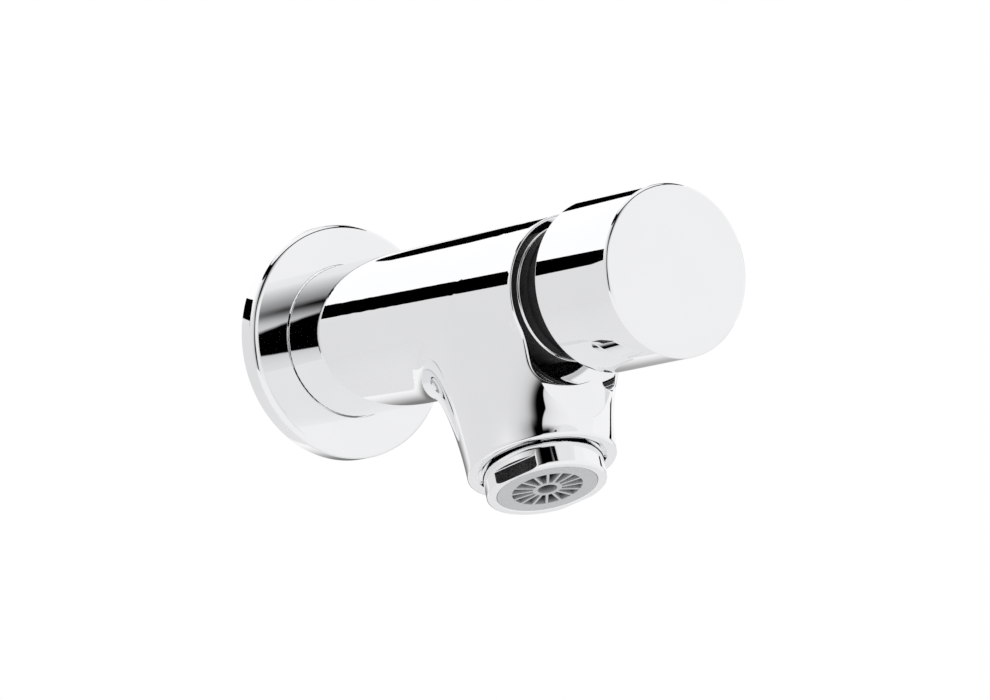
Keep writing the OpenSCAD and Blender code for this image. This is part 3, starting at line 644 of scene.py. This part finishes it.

# %% [markdown]
# Aerator
#
# The chromed sleeve screws into the outlet and has two flats for a spanner. It is turned like the other
# pieces, about the outlet's axis, and the flats are cut with two blocks. A Boolean is safe here, because
# flat faces meet the round wall at a clear angle. The milled flats are dull, so their faces get a second
# material slot, whose near-black colour is painted shade for the recessed flats.

# %% Aerator sleeve
SLEEVE_R = 12.0
SLEEVE_OUT = 4.9
FLATS = 22.0
FLATS_HEIGHT = 2.7
FLATS_TURN = math.radians(-22)
SLEEVE_TOP = -8.5
SLEEVE_LEDGE = -2.0
SLEEVE_BORE_R = 10.9
SLEEVE_FACE_R = 10.05
SLEEVE_GROOVE_R = 11.6
SPANNER_BLOCK = (4.0, FLATS_HEIGHT + 1, 30.0)
sleeve = turned([
    (SLEEVE_BORE_R, SLEEVE_TOP, 0.2), (SLEEVE_R, SLEEVE_TOP, 0.4), (SLEEVE_R, -0.6, 0),
    (SLEEVE_GROOVE_R, -0.4, 0), (SLEEVE_GROOVE_R, 0.2, 0), (SLEEVE_R, 0.4, 0), (SLEEVE_R, SLEEVE_OUT, 0.6),
    (SLEEVE_FACE_R, SLEEVE_OUT, 0.25), (SLEEVE_FACE_R, SLEEVE_LEDGE, 0), (SLEEVE_BORE_R, SLEEVE_LEDGE, 0),
])
spanner = bmesh.new()
for side in (0, math.pi):
    block_place = Matrix.Translation((FLATS / 2 + 2, -(SLEEVE_OUT - FLATS_HEIGHT / 2 + 0.5), 0))
    add_block(spanner, SPANNER_BLOCK, 0.1, Matrix.Rotation(-FLATS_TURN + side, 4, "Y") @ block_place)
sleeve = cut_away("sleeve", sleeve, spanner)
flat_way = Matrix.Rotation(-FLATS_TURN, 3, "Y") @ Vector((1, 0, 0))
# Faces on the flats take the second slot, which carries painted shade.
for face in sleeve.faces:
    on_flat = abs(abs(face.calc_center_median().dot(flat_way)) - FLATS / 2) < 0.02
    face.material_index = 1 if on_flat and abs(face.normal.dot(flat_way)) > 0.99 else 0
bmesh.ops.transform(sleeve, matrix=OUTLET_FRAME, verts=sleeve.verts)
aerator_sleeve = make_piece("aerator_sleeve", sleeve, "tap", ["aerator_housing"])

# %% [markdown]
# Return spring
#
# Inside the cartridge a coil pushes the piston back. A spin with a step along the axis makes a helix. The
# coil gets shorter as the button goes in; here it is one fixed coil on the tap body instead of riding on
# the piston, with a mesh of its own.

# %% Return spring
SPRING_R = 4.45
SPRING_WIRE = 0.9
SPRING_TURNS = 7
SPRING_FROM = 30.76
SPRING_TO = 47.54
TURN_STEPS = 36
coil = bmesh.new()
spring_steps = SPRING_TURNS * TURN_STEPS
coil_rise = (SPRING_TO - SPRING_FROM - SPRING_WIRE) / spring_steps
wire_place = Matrix.Translation((SPRING_R, -SPRING_FROM - SPRING_WIRE / 2, 0))
bmesh.ops.create_circle(coil, cap_ends=False, segments=12, radius=SPRING_WIRE / 2, matrix=wire_place)
bmesh.ops.spin(coil, geom=coil.verts[:] + coil.edges[:], cent=(0, 0, 0), axis=BARREL_AXIS,
               dvec=(0, -coil_rise, 0), angle=2 * math.pi * SPRING_TURNS, steps=spring_steps, use_merge=False)
bmesh.ops.holes_fill(coil, edges=[e for e in coil.edges if e.is_boundary], sides=0)
bmesh.ops.recalc_face_normals(coil, faces=coil.faces)
spring_coil = make_piece("spring_coil", coil, "tap", ["return_spring"])
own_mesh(spring_coil)

# %% [markdown]
# Finishes
#
# Chrome is a clear mirror, but never a perfect one: it has a faint bluish tint, a haze where hands touch
# it, and hair-fine polishing marks. Plastics have a moulded grain. Both effects are node groups, built
# once and placed in each material with its own values. The grey plastic between the aerator's fins gets
# painted shade: it is darkened with its height above the face. The white diffuser behind the fins is
# painted near black as shade.

# %% Node helpers


def new_group(name, inputs, outputs):
    """An empty shader node group with named float inputs and named outputs."""
    group = bpy.data.node_groups.new(name, "ShaderNodeTree")
    for label, value in inputs:
        socket = group.interface.new_socket(label, in_out="INPUT", socket_type="NodeSocketFloat")
        socket.default_value = value
    for label, kind in outputs:
        group.interface.new_socket(label, in_out="OUTPUT", socket_type=kind)
    return group, group.nodes.new("NodeGroupInput"), group.nodes.new("NodeGroupOutput")


def add_node(tree, kind, settings=(), **links):
    """A node with its sockets set from values or linked from other sockets."""
    node = tree.nodes.new(kind)
    for key, value in settings:
        setattr(node, key, value)
    for key, value in links.items():
        socket = node.inputs[int(key[1:])] if key[1:].isdigit() else node.inputs[key.replace("_", " ")]
        if isinstance(value, bpy.types.NodeSocket):
            tree.links.new(value, socket)
        else:
            socket.default_value = value
    return node


# %% Grain of moulded plastic


def grain_group():
    """Moulded grain: a fine height, with a lighter and a darker tone that follow it."""
    group, given, out = new_group("moulded_grain", [("Scale", 1500.0), ("Contrast", 0.2)],
                                  [("Tone", "NodeSocketFloat"), ("Height", "NodeSocketFloat")])
    place = add_node(group, "ShaderNodeTexCoord")
    fine = add_node(group, "ShaderNodeTexNoise", Vector=place.outputs["Object"], Scale=given.outputs["Scale"],
                    Detail=3.0, Roughness=0.6)
    broad = add_node(group, "ShaderNodeTexNoise", Vector=place.outputs["Object"], Scale=120.0, Detail=2.0)
    both = add_node(group, "ShaderNodeMath", [("operation", "MULTIPLY_ADD")], _0=broad.outputs["Fac"], _1=0.5,
                    _2=fine.outputs["Fac"])
    centred = add_node(group, "ShaderNodeMath", [("operation", "SUBTRACT")], _0=both.outputs[0], _1=0.75)
    tone = add_node(group, "ShaderNodeMath", [("operation", "MULTIPLY_ADD")], _0=centred.outputs[0],
                    _1=given.outputs["Contrast"], _2=0.5)
    group.links.new(tone.outputs[0], out.inputs["Tone"])
    group.links.new(fine.outputs["Fac"], out.inputs["Height"])
    return group


moulded_grain = grain_group()
print("group:", moulded_grain.name, [item.name for item in moulded_grain.interface.items_tree])

# %% Marks of polishing


def polish_group():
    """Polished metal: a slow haze and hair-fine polishing marks round the axis."""
    group, given, out = new_group("polish_marks", [("Haze", 0.02), ("Marks", 0.5)],
                                  [("Tone", "NodeSocketFloat"), ("Roughness", "NodeSocketFloat"),
                                   ("Height", "NodeSocketFloat")])
    place = add_node(group, "ShaderNodeTexCoord")
    haze = add_node(group, "ShaderNodeTexNoise", Vector=place.outputs["Object"], Scale=70.0, Detail=3.0)
    stretched = add_node(group, "ShaderNodeMapping", Vector=place.outputs["Object"],
                         Scale=(250.0, 5200.0, 250.0))
    marks = add_node(group, "ShaderNodeTexNoise", Vector=stretched.outputs[0], Scale=1.0, Detail=2.0)
    faint = add_node(group, "ShaderNodeMath", [("operation", "MULTIPLY")], _0=marks.outputs["Fac"],
                     _1=given.outputs["Marks"])
    uneven = add_node(group, "ShaderNodeMath", [("operation", "MULTIPLY_ADD")], _0=faint.outputs[0], _1=0.4,
                      _2=haze.outputs["Fac"])
    rough = add_node(group, "ShaderNodeMath", [("operation", "MULTIPLY")], _0=uneven.outputs[0],
                     _1=given.outputs["Haze"])
    group.links.new(haze.outputs["Fac"], out.inputs["Tone"])
    group.links.new(rough.outputs[0], out.inputs["Roughness"])
    group.links.new(faint.outputs[0], out.inputs["Height"])
    return group


polish_marks = polish_group()
print("group:", polish_marks.name, [item.name for item in polish_marks.interface.items_tree])

# %% Material helpers


def new_material(name):
    material = bpy.data.materials.new(name)
    material.use_nodes = True
    tree = material.node_tree
    tree.nodes.clear()
    surface = tree.nodes.new("ShaderNodeBsdfPrincipled")
    tree.links.new(surface.outputs[0], tree.nodes.new("ShaderNodeOutputMaterial").inputs["Surface"])
    return material, tree, surface


def place_group(tree, group, **values):
    node = add_node(tree, "ShaderNodeGroup", [("node_tree", group)])
    for key, value in values.items():
        node.inputs[key].default_value = value
    return node


def two_tones(tree, tone, dark, light):
    """A colour between two tones."""
    mix = add_node(tree, "ShaderNodeMix", [("data_type", "RGBA")])
    tree.links.new(tone, mix.inputs["Factor"])
    mix.inputs["A"].default_value = (*dark, 1)
    mix.inputs["B"].default_value = (*light, 1)
    return mix.outputs["Result"]


def bump(tree, surface, height, strength, distance):
    node = add_node(tree, "ShaderNodeBump", Strength=strength, Distance=distance, Height=height)
    tree.links.new(node.outputs["Normal"], surface.inputs["Normal"])


def metal(name, dark, light, haze, marks, strength):
    material, tree, surface = new_material(name)
    surface.inputs["Metallic"].default_value = 1
    polish = place_group(tree, polish_marks, Haze=haze, Marks=marks)
    tree.links.new(two_tones(tree, polish.outputs["Tone"], dark, light), surface.inputs["Base Color"])
    tree.links.new(polish.outputs["Roughness"], surface.inputs["Roughness"])
    bump(tree, surface, polish.outputs["Height"], strength, 0.00001)
    return material


def moulded(name, dark, light, roughness, scale, contrast, strength, shine=0.5):
    material, tree, surface = new_material(name)
    surface.inputs["Roughness"].default_value = roughness
    surface.inputs["Specular IOR Level"].default_value = shine
    grain = place_group(tree, moulded_grain, Scale=scale, Contrast=contrast)
    tree.links.new(two_tones(tree, grain.outputs["Tone"], dark, light), surface.inputs["Base Color"])
    bump(tree, surface, grain.outputs["Height"], strength, 0.0001)
    return material


# %% Materials
finishes = {
    "chrome": metal("mirror_chrome", (0.87, 0.875, 0.885), (0.91, 0.915, 0.922), 0.03, 0.3, 0.05),
    "bright_steel": metal("drawn_steel", (0.52, 0.53, 0.55), (0.72, 0.73, 0.74), 0.5, 1.0, 0.6),
    "brass": metal("turned_brass", (0.6, 0.44, 0.2), (0.82, 0.65, 0.35), 0.45, 1.0, 0.6),
    "black_plastic": moulded("black_nylon", (0.001, 0.001, 0.001), (0.014, 0.014, 0.015), 0.42, 2600, 2.2,
                             0.8, 0.1),
    "white_plastic": moulded("white_acetal", (0.74, 0.74, 0.72), (0.86, 0.86, 0.84), 0.4, 1800, 0.8, 0.2),
    "grey_plastic": moulded("grey_acetal", (0.46, 0.47, 0.48), (0.58, 0.59, 0.6), 0.42, 1800, 0.8, 0.2),
    "rubber": moulded("black_rubber", (0.015, 0.015, 0.015), (0.05, 0.05, 0.05), 0.7, 2200, 1.5, 0.4),
}
# The milled flats are dull and grainy; their near-black colour is painted shade for the recessed flats.
milled_flat_painted_shade = moulded("milled_flat_painted_shade", (0.0, 0.0, 0.0), (0.03, 0.03, 0.03), 0.5, 3000, 6.0, 1.0, 0.1)
# Painted shade: a near-black grey for the white diffuser deep behind the aerator's fins.
diffuser_painted_shade = moulded("diffuser_painted_shade", (0.03, 0.03, 0.032), (0.07, 0.07, 0.075), 0.4, 1800, 0.8, 0.2)
print("materials:", len(finishes) + 2)

# %% Painted shade between the fins


def shaded_with_depth(name, full_at, dark_at, least):
    """The grey plastic with painted shade: darker with its height above the aerator's face, deep between the
    fins.
    """
    material = finishes["grey_plastic"].copy()
    material.name = name
    tree = material.node_tree
    surface = next(node for node in tree.nodes if node.type == "BSDF_PRINCIPLED")
    colour = surface.inputs["Base Color"].links[0].from_socket
    place = add_node(tree, "ShaderNodeTexCoord")
    outwards = add_node(tree, "ShaderNodeVectorMath", [("operation", "DOT_PRODUCT")],
                        _0=place.outputs["Object"], _1=OUTWARD)
    shade = add_node(tree, "ShaderNodeMapRange", Value=outwards.outputs["Value"])
    rim = OUTLET_CENTRE.dot(OUTWARD)
    shade.inputs["From Min"].default_value = (rim + dark_at) * MM
    shade.inputs["From Max"].default_value = (rim + full_at) * MM
    shade.inputs["To Min"].default_value = least
    painted_dark = add_node(tree, "ShaderNodeVectorMath", [("operation", "SCALE")], _0=colour, Scale=shade.outputs[0])
    tree.links.new(painted_dark.outputs[0], surface.inputs["Base Color"])
    return material


SHADE_ENDS_AT = SLEEVE_OUT - 0.15
SHADE_DARKEST_AT = SLEEVE_OUT - 1.7
DARKEST_SHADE = 0.06
fins_painted_shade = shaded_with_depth("fins_painted_shade", SHADE_ENDS_AT, SHADE_DARKEST_AT, DARKEST_SHADE)
# Painted shade on the fins: full grey at their outer ends, called dry ends in the print, and darkest deeper
# in.
print("fins are darkest", round(SHADE_ENDS_AT - SHADE_DARKEST_AT, 2), "mm above their dry ends")

# %% Give every piece its finish
node_slot = {part["node"]: part["material_slot"] for part in frame["record"]["subparts"]}
for name, node in frame["nodes"].items():
    node.data.materials.clear()
    node.data.materials.append(finishes[node_slot[name]])
new_pieces = (flange_disc, button_cap, retaining_ring, neck_collar, tap_casting, aerator_sleeve, spring_coil)
for piece in new_pieces:
    piece.data.materials.append(finishes[node_slot[piece["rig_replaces"][0]]])
# Painted shade: the recessed flats get the near-black dull finish.
aerator_sleeve.data.materials.append(milled_flat_painted_shade)
# The white diffuser gets painted shade instead of its own finish.
frame["nodes"]["aerator_diffuser"].data.materials[0] = diffuser_painted_shade
# Painted shade on the aerator's fins, darker deeper in.
frame["nodes"]["aerator_insert"].data.materials[0] = fins_painted_shade
print("finishes:", sorted(finishes))

# %% [markdown]
# Studio
#
# Polished metal has no colour of its own: it shows the room. Photographers stand it in a white room and
# hang a few black cards where a dark line is wanted. The world is plain white where the camera or a
# reflection looks at it, and softer where it only lights. Two weak lamps shape the plastics and do not
# show in the chrome.

# %% World
SKY_LIGHTS = 0.86
SKY_SHOWS = 1.0
world = bpy.data.worlds.new("white_room")
bpy.context.scene.world = world
world.use_nodes = True
tree = world.node_tree
tree.nodes.clear()
ray = add_node(tree, "ShaderNodeLightPath")
seen = add_node(tree, "ShaderNodeMath", [("operation", "ADD")], _0=ray.outputs["Is Camera Ray"],
                _1=ray.outputs["Is Glossy Ray"])
seen = add_node(tree, "ShaderNodeMath", [("operation", "ADD"), ("use_clamp", True)], _0=seen.outputs[0],
                _1=ray.outputs["Is Transmission Ray"])
level = add_node(tree, "ShaderNodeMapRange", Value=seen.outputs[0])
level.inputs["To Min"].default_value = SKY_LIGHTS
level.inputs["To Max"].default_value = SKY_SHOWS
sky = add_node(tree, "ShaderNodeBackground", Color=(1, 1, 1, 1), Strength=level.outputs[0])
tree.links.new(sky.outputs[0], add_node(tree, "ShaderNodeOutputWorld").inputs["Surface"])
print("world shows", SKY_SHOWS, "and lights", SKY_LIGHTS)

# %% Floor
FLOOR_AT = -0.40
FLOOR_HALF = 4.0
floor_mesh = bmesh.new()
bmesh.ops.create_grid(floor_mesh, x_segments=8, y_segments=8, size=FLOOR_HALF,
                      matrix=Matrix.Translation((0, 0, FLOOR_AT)))
floor_data = bpy.data.meshes.new("floor")
floor_mesh.to_mesh(floor_data)
floor_mesh.free()
floor = bpy.data.objects.new("floor", floor_data)
bpy.context.scene.collection.objects.link(floor)
floor_paint, tree, surface = new_material("pale_floor")
surface.inputs["Roughness"].default_value = 0.9
speckle = place_group(tree, moulded_grain, Scale=300.0, Contrast=0.6)
tree.links.new(two_tones(tree, speckle.outputs["Tone"], (0.84, 0.84, 0.845), (0.88, 0.88, 0.885)),
               surface.inputs["Base Color"])
floor_data.materials.append(floor_paint)
print("floor at", FLOOR_AT, "m")

# %% Lamps


def soft_lamp(name, place, aim, size, watts):
    """A square area lamp that looks at a point."""
    data = bpy.data.lights.new(name, "AREA")
    data.shape = "SQUARE"
    data.size = size
    data.energy = watts
    lamp = bpy.data.objects.new(name, data)
    bpy.context.scene.collection.objects.link(lamp)
    way = Vector(aim) - Vector(place)
    lamp.matrix_world = Matrix.Translation(place) @ way.to_track_quat("-Z", "Y").to_matrix().to_4x4()
    lamp.visible_glossy = False
    print(name, watts, "W")


LAMP_SIZE = 0.8
LAMP_AIM = (0, -0.05, 0)
soft_lamp("key_lamp", (-0.7, -0.9, 1.1), LAMP_AIM, LAMP_SIZE, 5)
soft_lamp("fill_lamp", (1.0, -0.8, 0.5), LAMP_AIM, LAMP_SIZE, 2.5)

# %% [markdown]
# The screen
#
# A tall curved screen stands round the left of the tap. Its shade changes with the angle, and falls to
# black in a slit beside the camera: the slit draws the dark line down the spout. The slit's left side is
# soft and its right side sharp. Both lean to the left near the floor, and high up the right side is soft
# too. Each side has a row of shades for low and for high places, and the lighter of the two sides shows.

# %% Screen helpers
SCREEN_R = 1.1
SCREEN_AXIS = Vector((0, -0.07, 0))
SCREEN_TOP = 1.6
LEFT_LEAN = 18
RIGHT_LEAN = 20
LEFT_LOW = [(-215, 0.83), (-86, 0.80), (-70, 0.76), (-60, 0.68), (-54, 0.55), (-51, 0.43), (-48.5, 0.29),
            (-46, 0.17), (-43, 0.05), (-40.5, 0.0), (55, 0.0)]
LEFT_HIGH = [(-215, 0.98), (-92, 0.95), (-70, 0.7), (-56, 0.42), (-52, 0.3), (-50, 0.18), (-48, 0.06),
             (-45, 0.0), (55, 0.0)]
RIGHT_LOW = [(-215, 0.0), (-33.2, 0.0), (-32.9, 0.70), (-28, 0.80), (-20, 0.86), (-8, 0.92), (10, 0.96),
             (55, 0.97)]
RIGHT_HIGH = [(-215, 0.0), (-24, 0.0), (-18, 0.3), (-4, 0.6), (16, 0.97), (55, 0.97)]


def shown_in_mirrors(name, bm, material):
    """A stage object that only reflections see."""
    data = bpy.data.meshes.new(name)
    bm.to_mesh(data)
    bm.free()
    obj = bpy.data.objects.new(name, data)
    bpy.context.scene.collection.objects.link(obj)
    data.materials.append(material)
    obj.visible_camera = obj.visible_diffuse = obj.visible_shadow = False


def glowing(name):
    """A material with one emission node."""
    material = bpy.data.materials.new(name)
    material.use_nodes = True
    tree = material.node_tree
    tree.nodes.clear()
    glow = add_node(tree, "ShaderNodeEmission", Strength=1.0)
    tree.links.new(glow.outputs[0], add_node(tree, "ShaderNodeOutputMaterial").inputs["Surface"])
    return material, tree, glow


def round_the_tap(degrees, z):
    """A point of the screen, by its angle from the front; left is below zero."""
    angle = math.radians(degrees)
    return SCREEN_AXIS + Vector((SCREEN_R * math.sin(angle), -SCREEN_R * math.cos(angle), z))


def shade_ramp(tree, position, shades):
    """A colour ramp through (place, shade) stops."""
    node = add_node(tree, "ShaderNodeValToRGB", Fac=position)
    ramp = node.color_ramp
    for k, (at, shade) in enumerate(shades):
        stop = ramp.elements[k] if k < 2 else ramp.elements.new(at)
        stop.position = at
        stop.color = (shade, shade, shade, 1)
    return node.outputs["Color"]


def by_angle(tree, position, shades):
    """Shades at angles in degrees; the position counts full turns from the right-hand side."""
    return shade_ramp(tree, position, [(0.75 + degrees / 360, shade) for degrees, shade in shades])


# %% Screen
paint, tree, glow = glowing("left_screen")
place = add_node(tree, "ShaderNodeTexCoord")
turned_round = add_node(tree, "ShaderNodeMapping", Vector=place.outputs["Object"], Location=SCREEN_AXIS,
                        Rotation=(0, 0, math.pi))
sweep = add_node(tree, "ShaderNodeTexGradient", [("gradient_type", "RADIAL")], Vector=turned_round.outputs[0])
height = add_node(tree, "ShaderNodeSeparateXYZ", Vector=place.outputs["Object"])


def by_height(low, high, low_value, high_value):
    """A value that changes smoothly between two heights on the screen."""
    node = add_node(tree, "ShaderNodeMapRange", [("interpolation_type", "SMOOTHSTEP")],
                    Value=height.outputs["Z"], From_Min=low, From_Max=high, To_Min=low_value,
                    To_Max=high_value)
    return node.outputs[0]


def mixed(low, high, factor, way="MIX"):
    """One colour from two."""
    node = add_node(tree, "ShaderNodeMix", [("data_type", "RGBA"), ("blend_type", way)])
    for socket, value in (("A", low), ("B", high)):
        tree.links.new(value, node.inputs[socket])
    if isinstance(factor, bpy.types.NodeSocket):
        tree.links.new(factor, node.inputs["Factor"])
    else:
        node.inputs["Factor"].default_value = factor
    return node.outputs["Result"]


def leaning(top, lean):
    """The angle round the screen, moved by a number of degrees near the floor."""
    moved = by_height(FLOOR_AT - 0.05, top, lean / 360, 0.0)
    node = add_node(tree, "ShaderNodeMath", [("operation", "ADD")], _0=sweep.outputs["Fac"], _1=moved)
    return node.outputs[0]


LEFT_CHANGE = (0.18, 0.52)
RIGHT_CHANGE = (0.36, 0.68)
left = mixed(by_angle(tree, leaning(0.3, LEFT_LEAN), LEFT_LOW),
             by_angle(tree, sweep.outputs["Fac"], LEFT_HIGH), by_height(*LEFT_CHANGE, 0.0, 1.0))
right = mixed(by_angle(tree, leaning(0.0, RIGHT_LEAN), RIGHT_LOW),
              by_angle(tree, sweep.outputs["Fac"], RIGHT_HIGH), by_height(*RIGHT_CHANGE, 0.0, 1.0))
tree.links.new(mixed(left, right, 1.0, "LIGHTEN"), glow.inputs["Color"])

screen = bmesh.new()
first, last = LEFT_LOW[0][0], LEFT_LOW[-1][0]
foot, head = (screen.verts.new(round_the_tap(first, z)) for z in (FLOOR_AT, SCREEN_TOP))
bmesh.ops.spin(screen, geom=[foot, head, screen.edges.new((foot, head))], cent=SCREEN_AXIS, axis=(0, 0, 1),
               angle=math.radians(last - first), steps=180, use_merge=False)
shown_in_mirrors("left_screen", screen, paint)
print("screen from", first, "to", last, "degrees")

# %% [markdown]
# The cards
#
# The barrel's reflections run back past the wall, so the cards that draw its stripes hang behind it. A
# soft grey card there darkens the edges where the metal turns away. A pale table lies under the tap, and
# a black ring at the ceiling draws the thin dark rims. All of them are seen in reflections only.

# %% Cards
CARDS_AT = 0.40
BLACK = 0.0


def card(name, corners, shade):
    """A flat card through its corners; returns its nodes and its glow."""
    bm = bmesh.new()
    bmesh.ops.contextual_create(bm, geom=[bm.verts.new(c) for c in corners])
    material, tree, glow = glowing(name)
    glow.inputs["Color"].default_value = (shade, shade, shade, 1)
    shown_in_mirrors(name, bm, material)
    return tree, glow


card("main_stripe", [(x, CARDS_AT, z) for x, z in (
    (-0.40, 0.108), (-0.36, 0.108), (-0.20, 0.168), (-0.20, 0.225), (-0.40, 0.222))], BLACK)
card("upper_stripe", [(x, CARDS_AT, z) for x, z in (
    (0.125, 0.30), (0.125, 0.33), (0.22, 0.36), (0.33, 0.27), (0.30, 0.20), (0.245, 0.215))], BLACK)
card("top_light", [(x, CARDS_AT + 0.02, z) for x, z in (
    (-0.7, 0.2), (0.35, 0.2), (0.35, 0.9), (-0.7, 0.9))], 1.1)
card("right_strip", [round_the_tap(109, 0.0), round_the_tap(116, 0.0), round_the_tap(107, 0.36),
                     round_the_tap(100, 0.36)], BLACK)
card("table", [(x, y, FLOOR_AT + 0.005) for x, y in (
    (-1.0, 0.1), (-1.0, -3.0), (3.5, -3.0), (3.5, 0.1))], 0.96)
print("cards hang", CARDS_AT, "m behind the wall")

# %% Soft card
SOFT_CENTRE = Vector((0.24, CARDS_AT + 0.01, -0.05))
SOFT_WIDE, SOFT_TALL = 0.30, 0.25
SOFT_SHADES = [(0.0, 1.0), (0.17, 0.83), (0.39, 0.5), (0.61, 0.25), (1.0, 0.15)]
soft_corners = [SOFT_CENTRE + Vector((x * SOFT_WIDE, 0, z * SOFT_TALL)) for x, z in (
    (-1, -1), (1, -1), (1, 1), (-1, 1))]
tree, glow = card("soft_card", soft_corners, 1.0)
place = add_node(tree, "ShaderNodeTexCoord")
to_centre = (-SOFT_CENTRE.x / SOFT_WIDE, -SOFT_CENTRE.y, -SOFT_CENTRE.z / SOFT_TALL)
centred = add_node(tree, "ShaderNodeMapping", Vector=place.outputs["Object"], Location=to_centre,
                   Scale=(1 / SOFT_WIDE, 1, 1 / SOFT_TALL))
fall = add_node(tree, "ShaderNodeTexGradient", [("gradient_type", "SPHERICAL")], Vector=centred.outputs[0])
tree.links.new(shade_ramp(tree, fall.outputs["Fac"], SOFT_SHADES), glow.inputs["Color"])
print("soft card:", len(SOFT_SHADES), "shades from its edge to its middle")

# %% Ceiling gap
GAP_AT = 1.0
GAP_RADII = (0.53, 0.88)
ceiling_gap = bmesh.new()
inner, outer = (ceiling_gap.verts.new((r, 0, GAP_AT)) for r in GAP_RADII)
bmesh.ops.spin(ceiling_gap, geom=[inner, outer, ceiling_gap.edges.new((inner, outer))], cent=(0, 0, GAP_AT),
               axis=(0, 0, 1), angle=2 * math.pi, steps=64, use_merge=True)
gap_paint, tree, glow = glowing("ceiling_gap")
glow.inputs["Color"].default_value = (BLACK, BLACK, BLACK, 1)
shown_in_mirrors("ceiling_gap", ceiling_gap, gap_paint)

# %% View settings
bpy.context.scene.view_settings.view_transform = "Standard"
